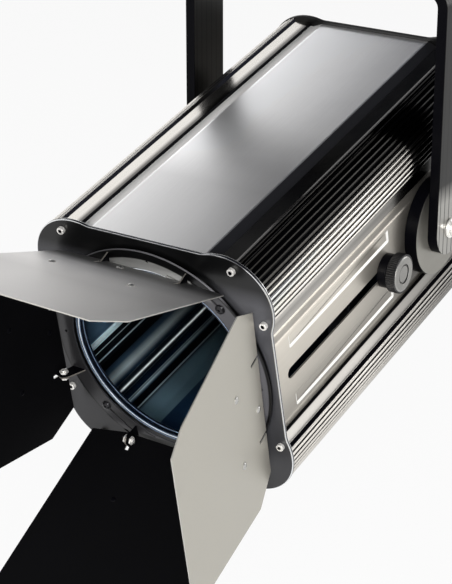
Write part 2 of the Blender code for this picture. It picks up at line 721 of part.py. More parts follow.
def barndoor_ring(parent):
    loops = [circle(0, 0, RING_OUTER, ROUND_STEPS), circle(0, 0, RING_INNER, ROUND_STEPS)]
    for i in range(4):
        start = math.radians(45 + 90 * i) + RING_REST_SPIN
        loops.append(slot_loop(start, RING_SLOT_SPAN))
        hole = math.radians(90 * i)
        loops.append(circle(RING_SLOT_RADIUS * math.cos(hole), RING_SLOT_RADIUS * math.sin(hole),
                            RING_SIGHT_HOLE, 8))
    ring = outline_solid("barndoor_ring", loops, RING_WALL, PLATE_PAINT, parent, FRONT_PLANE,
                         (0, RING_FRONT + RING_WALL / 2, 0))
    for place_name, angle in PLACES:
        turn = Matrix.Rotation(math.radians(angle), 4, "Y")
        for sx in (1, -1):
            ear = outline_solid("ear_%s_%d" % (place_name, sx + 1), [ear_loop(hinge_reach(angle))], EAR_WALL,
                                None, parent, TOP_PLANE, (0, 0, 0))
            ear.matrix_basis = turn @ Matrix.Translation((sx * EAR_X, 0, 0)) @ SIDE_PLANE
            bore = circle(HINGE_Y, hinge_reach(angle), HINGE_BOLT_RADIUS + GAP, 12)
            drill = outline_solid("ear_bore_%s_%d" % (place_name, sx + 1), [bore], 3 * EAR_WALL, None, parent,
                                  TOP_PLANE, (0, 0, 0))
            drill.matrix_basis = ear.matrix_basis
            join(ring, ear)
            cut(ring, drill)


def hinge_bolts(place_name, frame):
    """Bolt and nut through each ear and leaf lug, along the hinge's local X."""
    ear_outer = EAR_X + EAR_WALL / 2 + GAP
    lug_inner = EAR_X - EAR_WALL / 2 - GAP - LUG_WALL - GAP
    head_end = ear_outer + HINGE_BOLT_HEAD_HEIGHT
    nut_end = lug_inner - HINGE_BOLT_HEAD_HEIGHT
    tail = nut_end - HINGE_BOLT_TAIL
    profile = [(0, head_end), (HINGE_BOLT_HEAD, head_end), (HINGE_BOLT_HEAD, ear_outer),
               (HINGE_BOLT_RADIUS, ear_outer), (HINGE_BOLT_RADIUS, lug_inner), (HINGE_BOLT_HEAD, lug_inner),
               (HINGE_BOLT_HEAD, nut_end), (HINGE_BOLT_RADIUS, nut_end), (HINGE_BOLT_RADIUS, tail), (0, tail)]
    for side_name, sx in (("a", 1), ("b", -1)):
        points = [(r, sx * h) for r, h in profile]
        turned("hinge_bolt_%s_%s" % (place_name, side_name), points, STEEL, frame, SIDE_PLANE, (0, 0, 0),
               steps=SCREW_STEPS)


def leaf(name, frame, half, reach, opening):
    """Sheet with notched hinge edge and two bent lugs; flat along -Y from the hinge axis."""
    right = [(w, -s) for w, s in zip(half, reach)]
    left = flip(right, -1, 1)[::-1]
    slot_in = EAR_X - EAR_WALL / 2 - GAP
    slot_out = EAR_X + LEAF_SLOT_OUT
    bottom = LEAF_SETBACK - LEAF_SLOT_LENGTH
    notch = [(slot_in, LEAF_SETBACK), (slot_in, bottom), (slot_out, bottom), (slot_out, LEAF_SETBACK)]
    loop = right + left + flip(notch, -1, 1)[::-1] + notch
    frame_leaf = empty(name + "_swing", frame, rotation=(-opening, 0, 0))
    sheet = outline_solid(name, [loop], LEAF_WALL, LEAF_PAINT, frame_leaf, TOP_PLANE, (0, 0, LEAF_OFFSET))
    lug_middle = EAR_X - EAR_WALL / 2 - GAP - LUG_WALL / 2
    top = LEAF_OFFSET
    lug = arc(0, 0, EAR_RADIUS, math.radians(180), math.radians(360), 6)
    lug += [(EAR_RADIUS, top), (-EAR_RADIUS, top)]
    for sx in (1, -1):
        plane = Matrix.Translation((sx * lug_middle, 0, 0)) @ SIDE_PLANE
        piece = outline_solid("%s_lug_%d" % (name, sx + 1), [lug], LUG_WALL, None, frame_leaf, TOP_PLANE,
                              (0, 0, 0))
        piece.matrix_basis = plane
        drill = outline_solid("%s_lug_bore_%d" % (name, sx + 1),
                              [circle(0, 0, HINGE_BOLT_RADIUS + GAP, 12)], 3 * LUG_WALL, None, frame_leaf,
                              TOP_PLANE, (0, 0, 0))
        drill.matrix_basis = plane
        join(sheet, piece)
        cut(sheet, drill)


def barndoor(parent):
    frame = empty("ring_axis", parent, rotation=(0, RING_REST_SPIN, 0))
    barndoor_ring(frame)
    for place_name, angle in PLACES:
        turn = math.radians(angle)
        reach = hinge_reach(angle)
        hinge = empty("hinge_" + place_name, frame,
                      (reach * math.sin(turn), HINGE_Y, reach * math.cos(turn)), (0, turn, 0))
        hinge_bolts(place_name, hinge)
        if angle % 180 == 0:
            leaf("leaf_" + place_name, hinge, TOP_LEAF_HALF, TOP_LEAF_REACH, TOP_LEAF_OPEN)
        else:
            leaf("leaf_" + place_name, hinge, SIDE_LEAF_HALF, SIDE_LEAF_REACH, SIDE_LEAF_OPEN)


# Focus slide and lamp

def lamp_carriage(parent):
    """Deck on two rod bearings, with a side upright for the knob's stud and a reflector bracket."""
    deck_top = ROD_Z + BLOCK_SIZE / 2
    deck_rear = REFLECTOR_BACK + BRACKET_WALL + REFLECTOR_WALL
    deck_length = deck_rear - DECK_FRONT
    deck_half = ROD_X - BLOCK_SIZE / 2 + DECK_LAP
    deck_loop = rectangle(-deck_half, deck_half, DECK_FRONT, deck_rear)
    carriage = outline_solid("lamp_carriage", [deck_loop], DECK_WALL, SHEET, parent, TOP_PLANE,
                             (0, 0, deck_top - DECK_WALL / 2))
    half = BLOCK_SIZE / 2
    for sx in (1, -1):
        block_loop = rectangle(sx * ROD_X - half, sx * ROD_X + half, ROD_Z - half, deck_top - 2 * GAP)
        block = outline_solid("rod_block_%d" % (sx + 1), [block_loop], BLOCK_LENGTH, None, parent, FRONT_PLANE,
                              (0, 0, 0))
        bore = outline_solid("rod_bore_%d" % (sx + 1), [circle(sx * ROD_X, ROD_Z, ROD_RADIUS + GAP, 24)],
                             2 * deck_length, None, parent, FRONT_PLANE, (0, 0, 0))
        join(carriage, block)
        cut(carriage, bore)
    upright_outer = ROD_X + half - GAP
    upright_loop = rectangle(-UPRIGHT_HALF_WIDTH, UPRIGHT_HALF_WIDTH, ROD_Z + ROD_RADIUS + 2 * GAP,
                             UPRIGHT_HALF_WIDTH)
    upright = outline_solid("stud_upright", [upright_loop, circle(0, 0, STUD_RADIUS + GAP)], UPRIGHT_WALL,
                            None, parent, SIDE_PLANE, (upright_outer - UPRIGHT_WALL / 2, 0, 0))
    join(carriage, upright)
    bracket_front = math.sqrt((REFLECTOR_CURVE + REFLECTOR_WALL) ** 2 - BRACKET_TOP ** 2)
    bracket_front += REFLECTOR_BACK - REFLECTOR_CURVE + 2 * GAP
    bracket_loop = rectangle(-BRACKET_HALF_WIDTH, BRACKET_HALF_WIDTH, deck_top - DECK_WALL / 2, BRACKET_TOP)
    bracket = outline_solid("reflector_bracket", [bracket_loop], BRACKET_WALL, None, parent, FRONT_PLANE,
                            (0, bracket_front + BRACKET_WALL / 2, 0))
    join(carriage, bracket)
    return deck_top, upright_outer


def lamp_and_reflector(parent, deck_top):
    holder_bottom = deck_top + GAP
    box("lampholder", HOLDER_SIZE, CERAMIC, parent, (0, 0, holder_bottom + HOLDER_SIZE[2] / 2))
    foot = holder_bottom + HOLDER_SIZE[2] + GAP
    shoulder = foot + LAMP_CAP_HEIGHT
    top = foot + LAMP_HEIGHT
    dome = arc(0, top - LAMP_RADIUS, LAMP_RADIUS, math.radians(90), 0, 6)
    profile = dome + [(LAMP_RADIUS, shoulder), (LAMP_CAP_RADIUS, shoulder), (LAMP_CAP_RADIUS, foot), (0, foot)]
    turned("discharge_lamp", profile, GLASS, parent, TOP_PLANE, (0, 0, 0), steps=24)
    centre = REFLECTOR_BACK - REFLECTOR_CURVE
    rim = math.asin(REFLECTOR_RADIUS / REFLECTOR_CURVE)
    inside = arc(0, 0, REFLECTOR_CURVE, 0, rim, 5)
    outside = arc(0, 0, REFLECTOR_CURVE + REFLECTOR_WALL, rim, 0, 5)
    profile = [(r, -(centre + y)) for y, r in inside + outside]
    turned("reflector", profile, MIRROR, parent, FRONT_PLANE, (0, 0, 0), steps=32)


def focus_stud(parent, upright_outer):
    """Stud through the carriage's upright and the slot, with the sliding disc on the panel."""
    inner_face = upright_outer - UPRIGHT_WALL - GAP
    disc_inner = SIDE_PANEL_PLANE + GAP
    disc_outer = disc_inner + SLIDER_THICKNESS
    end = disc_outer + GAP + KNOB_BORE_DEPTH - GAP
    profile = [(0, end), (STUD_RADIUS, end), (STUD_RADIUS, disc_outer), (SLIDER_RADIUS, disc_outer),
               (SLIDER_RADIUS, disc_inner), (STUD_RADIUS, disc_inner), (STUD_RADIUS, inner_face),
               (STUD_HEAD_RADIUS, inner_face), (STUD_HEAD_RADIUS, inner_face - STUD_HEAD_LENGTH),
               (0, inner_face - STUD_HEAD_LENGTH)]
    turned("focus_stud", profile, BLACK_PLASTIC, parent, SIDE_PLANE, (0, 0, 0), steps=32)
    return disc_outer + GAP


def toothed_loop(radius, teeth, depth, steps_per_tooth=2):
    """Outline with regular teeth or lobes."""
    count = teeth * steps_per_tooth
    points = []
    for i in range(count):
        angle = math.tau * i / count
        r = radius - depth * (0.5 - 0.5 * math.cos(teeth * angle))
        points.append((r * math.cos(angle), r * math.sin(angle)))
    return points


def focus_knob(parent, base):
    knob = outline_solid("focus_knob", [toothed_loop(KNOB_RADIUS, KNOB_TEETH, KNOB_TOOTH)], KNOB_LENGTH,
                         BLACK_PLASTIC, parent, SIDE_PLANE, (base + KNOB_LENGTH / 2, 0, 0))
    bore_middle = base + KNOB_BORE_DEPTH / 2 - GAP
    bore = outline_solid("knob_bore", [circle(0, 0, STUD_RADIUS + GAP)], KNOB_BORE_DEPTH + 2 * GAP, None,
                         parent, SIDE_PLANE, (bore_middle, 0, 0))
    cut(knob, bore)
    dish = outline_solid("knob_dish", [circle(0, 0, KNOB_DISH_RADIUS, 32)], 2 * KNOB_DISH_DEPTH, None, parent,
                         SIDE_PLANE, (base + KNOB_LENGTH, 0, 0))
    cut(knob, dish)


def focus_slide(parent):
    frame = empty("focus_frame", parent, (0, FOCUS_Y, 0))
    deck_top, upright_outer = lamp_carriage(frame)
    lamp_and_reflector(frame, deck_top)
    base = focus_stud(frame, upright_outer)
    focus_knob(frame, base)


# Tilt pivot and yoke

def tilt_pivot(parent):
    """Drums on both sides, a bolt through the right arm and a clamp stud with a knob at the left."""
    foot = SIDE_PANEL_PLANE + GAP
    inside = SIDE_PANEL_PLANE - PANEL_WALL - GAP
    arm_outer = BOSS_FACE + GAP + YOKE_THICKNESS
    bore = PIVOT_RADIUS + GAP
    drum = [(bore, BOSS_FACE), (BOSS_RADIUS, BOSS_FACE), (BOSS_RADIUS, foot), (bore, foot)]
    centre = (0, PIVOT_Y, 0)
    turned("tilt_boss_right", drum, SHEET, parent, SIDE_PLANE, centre, closed=True)
    head = arm_outer + GAP
    flange = head + PIVOT_FLANGE_HEIGHT
    cap = flange + PIVOT_CAP_HEIGHT
    nut = inside - PIVOT_NUT_HEIGHT
    bolt = [(0, cap), (PIVOT_CAP_RADIUS, cap), (PIVOT_CAP_RADIUS, flange), (PIVOT_FLANGE_RADIUS, flange),
            (PIVOT_FLANGE_RADIUS, head), (PIVOT_RADIUS, head), (PIVOT_RADIUS, inside),
            (PIVOT_NUT_RADIUS, inside), (PIVOT_NUT_RADIUS, nut), (0, nut)]
    turned("tilt_bolt", bolt, STEEL, parent, SIDE_PLANE, centre, steps=24)
    stud_end = arm_outer + TILT_STUD_LENGTH
    stud = [(0, stud_end), (PIVOT_RADIUS, stud_end), (PIVOT_RADIUS, BOSS_FACE), (BOSS_RADIUS, BOSS_FACE),
            (BOSS_RADIUS, foot), (PIVOT_RADIUS, foot), (PIVOT_RADIUS, inside), (PIVOT_NUT_RADIUS, inside),
            (PIVOT_NUT_RADIUS, nut), (0, nut)]
    turned("tilt_boss_left", [(r, -x) for r, x in stud], SHEET, parent, SIDE_PLANE, centre)
    knob_inner = arm_outer + GAP
    middle = -(knob_inner + TILT_KNOB_LENGTH / 2)
    axis = empty("tilt_knob_axis", parent, centre)
    lobes = toothed_loop(TILT_KNOB_RADIUS, TILT_KNOB_LOBES, TILT_KNOB_LOBE, 8)
    knob = outline_solid("tilt_knob", [lobes], TILT_KNOB_LENGTH, BLACK_PLASTIC, axis, SIDE_PLANE,
                         (middle, 0, 0))
    bore_depth = TILT_STUD_LENGTH + GAP
    hole = outline_solid("tilt_knob_bore", [circle(0, 0, bore, 24)], bore_depth + GAP, None, axis, SIDE_PLANE,
                         (-(knob_inner + bore_depth / 2 - GAP), 0, 0))
    cut(knob, hole)


def yoke():
    """U-shaped bar in the XZ plane, its arm ends rounded about the tilt axis."""
    inner = BOSS_FACE + GAP
    outer = inner + YOKE_THICKNESS
    end = -YOKE_RISE - YOKE_WIDTH / 2
    inner_corner = YOKE_CORNER - YOKE_THICKNESS
    right_outer = arc(outer - YOKE_CORNER, -YOKE_CORNER, YOKE_CORNER, math.pi / 2, 0, 5) + [(outer, end)]
    inner_top = -YOKE_THICKNESS
    right_inner = [(inner, end)] + arc(inner - inner_corner, inner_top - inner_corner, inner_corner, 0,
                                       math.pi / 2, 4)
    half = right_outer + right_inner
    loop = half + flip(half, -1, 1)[::-1]
    bar = outline_solid("yoke", [loop], YOKE_WIDTH, YOKE_PAINT, None, FRONT_PLANE, (0, 0, 0))
    radius = YOKE_WIDTH / 2
    slab_loop = arc(0, -YOKE_RISE, radius, math.pi, math.tau, 16) + [(radius, 0.01), (-radius, 0.01)]
    slab = outline_solid("yoke_side_shape", [slab_loop], 3 * outer, None, None, SIDE_PLANE, (0, 0, 0))
    combine(bar, slab, "INTERSECT")
    pivot_hole = outline_solid("yoke_pivot_hole", [circle(0, -YOKE_RISE, PIVOT_RADIUS + GAP, 24)], 3 * outer,
                               None, None, SIDE_PLANE, (0, 0, 0))
    cut(bar, pivot_hole)
    clamp = [circle(sx * CLAMP_HOLE_X, 0, CLAMP_HOLE_RADIUS, 24) for sx in (1, -1)]
    for i, loop in enumerate(clamp):
        hole = outline_solid("clamp_hole_%d" % i, [loop], 3 * YOKE_THICKNESS, None, None, TOP_PLANE,
                             (0, 0, -YOKE_THICKNESS / 2))
        cut(bar, hole)


def shade_round_pieces():
    for piece in PARTS.objects:
        if piece.type == "MESH":
            piece.data.shade_smooth()
            piece.data.set_sharp_from_angle(angle=math.radians(30))


def build():
    yoke()
    tilt_axis = empty("tilt_axis", None, (0, 0, -YOKE_RISE), (TILT_REST, 0, 0))
    lamp = empty("lamp_frame", tilt_axis, (0, -PIVOT_Y, 0))
    corner_extrusions(lamp)
    top_and_bottom_panels(lamp)
    side_panel("side_panel_right", 1, lamp, True)
    side_panel("side_panel_left", -1, lamp, False)
    front_plate(lamp)
    rear_plate(lamp)
    plate_screws(lamp)
    glass_and_gasket(lamp)
    ring_screws(lamp)
    bulkhead(lamp)
    guide_rods(lamp)
    ballast(lamp)
    fan(lamp)
    power_inlet(lamp)
    barndoor(lamp)
    focus_slide(lamp)
    tilt_pivot(lamp)
    shade_round_pieces()


build()
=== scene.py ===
"""Looks for the wash light: fine sheet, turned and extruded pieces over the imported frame."""
import math

import bmesh
import bpy
from mathutils import Matrix, Vector
from mathutils.geometry import tessellate_polygon


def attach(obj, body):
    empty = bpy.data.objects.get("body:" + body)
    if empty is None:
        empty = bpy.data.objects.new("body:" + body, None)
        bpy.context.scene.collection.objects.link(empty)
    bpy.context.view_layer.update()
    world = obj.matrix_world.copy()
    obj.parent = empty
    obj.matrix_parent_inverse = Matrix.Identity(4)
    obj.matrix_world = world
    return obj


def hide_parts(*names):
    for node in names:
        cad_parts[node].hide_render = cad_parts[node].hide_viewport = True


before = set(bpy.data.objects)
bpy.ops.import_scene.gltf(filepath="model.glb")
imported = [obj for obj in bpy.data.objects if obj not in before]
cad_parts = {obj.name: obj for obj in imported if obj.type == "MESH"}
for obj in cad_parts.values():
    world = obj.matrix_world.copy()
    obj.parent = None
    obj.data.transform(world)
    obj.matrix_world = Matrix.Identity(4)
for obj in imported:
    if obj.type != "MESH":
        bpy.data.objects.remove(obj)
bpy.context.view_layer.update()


def moved(x=0, y=0, z=0):
    return Matrix.Translation((x, y, z))


# Places, in metres. The lamp frame has its origin at the centre of the front plate's face.
PI = math.pi
TILT = math.radians(13.13)
RISE, PIVOT_Y = 0.290, 0.345
SPIN = math.radians(1.5)
LAMP = moved(z=-RISE) @ Matrix.Rotation(TILT, 4, "X") @ moved(y=-PIVOT_Y)
RING = LAMP @ Matrix.Rotation(SPIN, 4, "Y")
FRONT = Matrix.Rotation(PI / 2, 4, "X")
SIDE = Matrix(((0, 0, 1, 0), (1, 0, 0, 0), (0, 1, 0, 0), (0, 0, 0, 1)))
FLAT = Matrix.Identity(4)

CORNER_X, CORNER_Z = 0.0938, 0.0958
PLATE_RADIUS, PLATE_X, PLATE_Z, PLATE_THICK = 0.0585, 0.147, 0.151, 0.004
HOUSING_FRONT, HOUSING_REAR = 0.0043, 0.505
HOUSING_LENGTH = HOUSING_REAR - HOUSING_FRONT
EXTRUDED = LAMP @ moved(y=HOUSING_FRONT + HOUSING_LENGTH / 2) @ FRONT
GAP = 0.0003
FOLD_THICK = 0.002
SLOT_RADIUS = 0.1283
BAND_END_X, BAND_END_Z, INNER_CORNER = 0.090, 0.064, 0.051
PIVOT_BORE = 0.0083
SHARP_PIECE, SHARP_CARVED = 35, 30


# Outlines

def arc(cx, cy, radius, start, end, count):
    """Points along part of a circle, both ends included."""
    turns = [start + (end - start) * i / count for i in range(count + 1)]
    return [(cx + radius * math.cos(a), cy + radius * math.sin(a)) for a in turns]


def circle(cx, cy, radius, count=24):
    return arc(cx, cy, radius, 0, math.tau, count)[:-1]


def round_loop(count, radius_at):
    """Closed outline whose radius is given for each turn."""
    turns = [math.tau * k / count for k in range(count)]
    return [(radius_at(t) * math.cos(t), radius_at(t) * math.sin(t)) for t in turns]


def flip(points, sx, sy):
    return [(x * sx, y * sy) for x, y in points]


def area_of(points):
    pairs = zip(points, points[1:] + points[:1])
    return sum(a[0] * b[1] - b[0] * a[1] for a, b in pairs) / 2


def soften(points, radius, steps=3, closed=True):
    """Rounds each corner of an outline or profile by a small radius."""
    out = []
    count = len(points)
    for i, p in enumerate(points):
        here = Vector(p)
        if not closed and i in (0, count - 1):
            out.append(tuple(here))
            continue
        to_last = Vector(points[i - 1]) - here
        to_next = Vector(points[(i + 1) % count]) - here
        room = min(radius, to_last.length * 0.45, to_next.length * 0.45)
        if room < 1e-6 or abs(to_last.normalized().dot(to_next.normalized())) > 0.98:
            out.append(tuple(here))
            continue
        start = here + to_last.normalized() * room
        end = here + to_next.normalized() * room
        for k in range(steps + 1):
            t = k / steps
            out.append(tuple(start * (1 - t) ** 2 + here * 2 * t * (1 - t) + end * t * t))
    return out


def inset(points, depth):
    """Moves each point of an outline by a depth to the left of the way it runs."""
    out = []
    for i, p in enumerate(points):
        before = Vector(p) - Vector(points[i - 1])
        after = Vector(points[(i + 1) % len(points)]) - Vector(p)
        left_a = Vector((-before.y, before.x)).normalized()
        left_b = Vector((-after.y, after.x)).normalized()
        middle = left_a + left_b
        if middle.length < 0.3:
            middle = left_a
        middle.normalize()
        reach = depth / max(middle.dot(left_a), 0.35)
        out.append((p[0] + middle.x * reach, p[1] + middle.y * reach))
    return out


# Meshes

def wall(shape, low, high):
    """Faces between two closed rows of points."""
    for k in range(len(low)):
        j = (k + 1) % len(low)
        shape.faces.new((low[k], low[j], high[j], high[k]))


def sheet(loops, thickness, edge=0.0004):
    """Flat piece with holes, centred on its plane, its rims rounded by the edge radius."""
    shape = bmesh.new()
    half = thickness / 2
    rims = ((edge, -half), (edge * 0.3, -half + edge * 0.3), (0, -half + edge), (0, half - edge),
            (edge * 0.3, half - edge * 0.3), (edge, half))
    rows = []
    for i, loop in enumerate(loops):
        turn_left = area_of(loop) > 0
        ring = loop if turn_left == (i == 0) else loop[::-1]
        rows.append([[shape.verts.new((x, y, h)) for x, y in inset(ring, d)] for d, h in rims])
    for levels in rows:
        for low, high in zip(levels, levels[1:]):
            wall(shape, low, high)
    for level, up in ((0, False), (-1, True)):
        flat = [[v.co.xy.to_3d() for v in levels[level]] for levels in rows]
        verts = [v for levels in rows for v in levels[level]]
        for tri in tessellate_polygon(flat):
            a, b, c = (verts[k] for k in tri)
            if len({a, b, c}) < 3:
                continue
            left = (b.co - a.co).cross(c.co - a.co).z > 0
            try:
                shape.faces.new((a, b, c) if left == up else (a, c, b))
            except ValueError:
                continue
    return shape


def turned(profile, steps=64, closed=False):
    """Profile of radius and height swept round Z."""
    shape = bmesh.new()
    points = list(profile)
    if area_of(points) < 0:
        points.reverse()
    rings = []
    for r, h in points:
        if r < 1e-7:
            rings.append([shape.verts.new((0, 0, h))])
        else:
            turns = [math.tau * k / steps for k in range(steps)]
            rings.append([shape.verts.new((r * math.cos(a), r * math.sin(a), h)) for a in turns])
    pairs = list(zip(rings, rings[1:]))
    if closed:
        pairs.append((rings[-1], rings[0]))
    for low, high in pairs:
        for k in range(steps):
            j = (k + 1) % steps
            corners = (low[k % len(low)], low[j % len(low)], high[j % len(high)], high[k % len(high)])
            face = list(dict.fromkeys(corners))
            if len(face) > 2:
                shape.faces.new(face)
    return shape


def cylinder(radius, top, bottom, steps=24):
    """Plain round solid between two heights."""
    return turned([(0, top), (radius, top), (radius, bottom), (0, bottom)], steps)


def dome(cx, cy, base, radius, height, steps=20):
    """Low rivet head standing on a plane."""
    profile = [(0, 0)] + [(radius * math.cos(a), height * math.sin(a)) for a in (0, 0.35, 0.75, 1.15)]
    head = turned(profile + [(0, height)], steps)
    bmesh.ops.translate(head, verts=head.verts, vec=(cx, cy, base))
    return head


def settled_mesh(shape, matrix):
    """Moves a shape to its place with its faces outward, and turns it into a mesh."""
    bmesh.ops.recalc_face_normals(shape, faces=shape.faces)
    shape.transform(matrix)
    if matrix.determinant() < 0:
        bmesh.ops.reverse_faces(shape, faces=shape.faces)
    mesh = bpy.data.meshes.new("part")
    shape.to_mesh(mesh)
    shape.free()
    return mesh


def dress(mesh, finishes, split, sharp):
    """Gives a mesh its finishes, face by face where a split is given, and its sharp edges."""
    mesh.materials.clear()
    for look in finishes:
        mesh.materials.append(look)
    if split is not None:
        for face in mesh.polygons:
            face.material_index = split(face.center, face.normal)
    mesh.shade_smooth()
    mesh.set_sharp_from_angle(angle=math.radians(sharp))


def add_object(name, data):
    made = bpy.data.objects.new(name, data)
    bpy.context.scene.collection.objects.link(made)
    return made


def piece(name, parts, body, finishes, stands_for, split=None):
    """Joins (shape, matrix) parts into one named piece in the row frame, and ties it to its body."""
    whole = bmesh.new()
    for shape, matrix in parts:
        mesh = settled_mesh(shape, matrix)
        whole.from_mesh(mesh)
        bpy.data.meshes.remove(mesh)
    mesh = bpy.data.meshes.new(name)
    whole.to_mesh(mesh)
    whole.free()
    dress(mesh, finishes, split, SHARP_PIECE)
    made = add_object(name, mesh)
    flat = made.modifiers.new("Normals", "WEIGHTED_NORMAL")
    flat.keep_sharp = True
    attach(made, body)
    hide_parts(*stands_for)
    return made


def carve(made, cutters, finishes, split):
    """Cuts or trims a piece with other shapes, then gives its faces their finishes."""
    for operation, shape, matrix in cutters:
        mesh = settled_mesh(shape, matrix)
        tool = add_object("cutter", mesh)
        step = made.modifiers.new("Shape", "BOOLEAN")
        made.modifiers.move(len(made.modifiers) - 1, 0)
        step.operation = operation
        step.solver = "EXACT"
        step.object = tool
        made.modifiers["Normals"].show_viewport = False
        graph = bpy.context.evaluated_depsgraph_get()
        result = bpy.data.meshes.new_from_object(made.evaluated_get(graph))
        made.modifiers["Normals"].show_viewport = True
        made.modifiers.remove(step)
        old = made.data
        made.data = result
        bpy.data.objects.remove(tool, do_unlink=True)
        for unused in (old, mesh):
            bpy.data.meshes.remove(unused)
    dress(made.data, finishes, split, SHARP_CARVED)


# Finishes

def add_node(tree, kind, inputs, **settings):
    """New node in a tree. Each input, by name or number, takes a value or another node's output."""
    made = tree.nodes.new("ShaderNode" + kind)
    for label, value in settings.items():
        setattr(made, label, value)
    for label, value in inputs.items():
        if isinstance(value, bpy.types.NodeSocket):
            tree.links.new(value, made.inputs[label])
        else:
            made.inputs[label].default_value = value
    return made


def maths(tree, operation, *values, clamp=False):
    """A maths step on sockets or numbers."""
    return add_node(tree, "Math", dict(enumerate(values)), operation=operation, use_clamp=clamp).outputs[0]


def mixed(tree, share, first, second, blend="MIX"):
    """Colour mixed from two, by the share of the second."""
    colours = {"Factor": share, "A": first, "B": second}
    return add_node(tree, "Mix", colours, data_type="RGBA", blend_type=blend).outputs["Result"]


def new_group(name, inputs, outputs):
    """Shader group with inputs given as (name, kind, value) and outputs as (name, kind)."""
    group = bpy.data.node_groups.new(name, "ShaderNodeTree")
    for label, kind, value in inputs:
        socket = group.interface.new_socket(label, in_out="INPUT", socket_type="NodeSocket" + kind)
        if value is not None:
            socket.default_value = value
    for label, kind in outputs:
        group.interface.new_socket(label, in_out="OUTPUT", socket_type="NodeSocket" + kind)
    return group, group.nodes.new("NodeGroupInput").outputs, group.nodes.new("NodeGroupOutput").inputs


def surface_grain():
    """Cloudy tone and fine speckle, stretched along any axis by the given vector."""
    tree, given, result = new_group(
        "surface_grain",
        [("Place", "Vector", None), ("Stretch", "Vector", (1, 1, 1)), ("Colour", "Color", (0.5, 0.5, 0.5, 1)),
         ("Shift", "Float", 0.1), ("Fine Scale", "Float", 900), ("Cloud Scale", "Float", 18),
         ("Rough Low", "Float", 0.3), ("Rough High", "Float", 0.4)],
        [("Colour", "Color"), ("Roughness", "Float"), ("Height", "Float")])
    drawn = add_node(tree, "VectorMath", {0: given["Place"], 1: given["Stretch"]}, operation="MULTIPLY")
    fine = add_node(tree, "TexNoise", {"Vector": drawn.outputs[0], "Scale": given["Fine Scale"], "Detail": 3})
    cloud = add_node(tree, "TexNoise", {"Vector": given["Place"], "Scale": given["Cloud Scale"], "Detail": 5})
    both = maths(tree, "ADD", fine.outputs["Fac"], cloud.outputs["Fac"])
    tone = add_node(tree, "MapRange", {"Value": both, "From Min": 0.6, "From Max": 1.4,
                                       "To Min": maths(tree, "SUBTRACT", 1, given["Shift"]),
                                       "To Max": maths(tree, "ADD", 1, given["Shift"])})
    tint = add_node(tree, "VectorMath", {0: given["Colour"], "Scale": tone.outputs[0]}, operation="SCALE")
    rough = add_node(tree, "MapRange", {"Value": cloud.outputs["Fac"], "From Min": 0.3, "From Max": 0.7,
                                        "To Min": given["Rough Low"], "To Max": given["Rough High"]})
    tree.links.new(tint.outputs[0], result["Colour"])
    tree.links.new(rough.outputs[0], result["Roughness"])
    tree.links.new(fine.outputs["Fac"], result["Height"])
    return tree


def settled_dust():
    """Thin pale film on faces that look up, broken by noise."""
    tree, given, result = new_group(
        "settled_dust",
        [("Place", "Vector", None), ("Colour", "Color", (0.5, 0.5, 0.5, 1)),
         ("Dust", "Color", (0.5, 0.49, 0.47, 1)), ("Amount", "Float", 0.08)],
        [("Colour", "Color")])
    facing = add_node(tree, "SeparateXYZ", {0: add_node(tree, "NewGeometry", {}).outputs["Normal"]})
    noise = add_node(tree, "TexNoise", {"Vector": given["Place"], "Scale": 60, "Detail": 6})
    upward = maths(tree, "MULTIPLY", facing.outputs["Z"], noise.outputs["Fac"], clamp=True)
    amount = maths(tree, "MULTIPLY", upward, given["Amount"], clamp=True)
    tree.links.new(mixed(tree, amount, given["Colour"], given["Dust"]), result["Colour"])
    return tree


def lamp_axes():
    """Where a point lies in the lamp frame, with its radius and its turn in degrees round the beam axis."""
    ways = ("Across", "Depth", "Height", "Right Depth", "Radius", "Turn")
    tree, _, result = new_group("lamp_axes", [], [(way, "Float") for way in ways])
    place = add_node(tree, "TexCoord", {}).outputs["Object"]
    level = add_node(tree, "Mapping", {"Vector": place, "Location": LAMP.to_translation(),
                                       "Rotation": (TILT, 0, 0)}, vector_type="TEXTURE")
    split = add_node(tree, "SeparateXYZ", {0: level.outputs[0]})
    x, depth, z = (split.outputs[axis] for axis in "XYZ")
    right_depth = maths(tree, "MULTIPLY", depth, maths(tree, "GREATER_THAN", x, 0))
    squares = maths(tree, "ADD", maths(tree, "MULTIPLY", x, x), maths(tree, "MULTIPLY", z, z))
    turn = maths(tree, "MULTIPLY", maths(tree, "ARCTAN2", z, x), 180 / PI)
    for way, value in zip(ways, (x, depth, z, right_depth, maths(tree, "SQRT", squares), turn)):
        tree.links.new(value, result[way])
    return tree


GRAIN = surface_grain()
DUST = settled_dust()
AXES = lamp_axes()
BUMP_DEPTH = 0.0004
COAT_ROUGHNESS = 0.15


def principled(made):
    return made.node_tree.nodes["Principled BSDF"]


def base_colour(made):
    return principled(made).inputs["Base Color"].links[0].from_socket


def set_base(made, colour):
    made.node_tree.links.new(colour, principled(made).inputs["Base Color"])


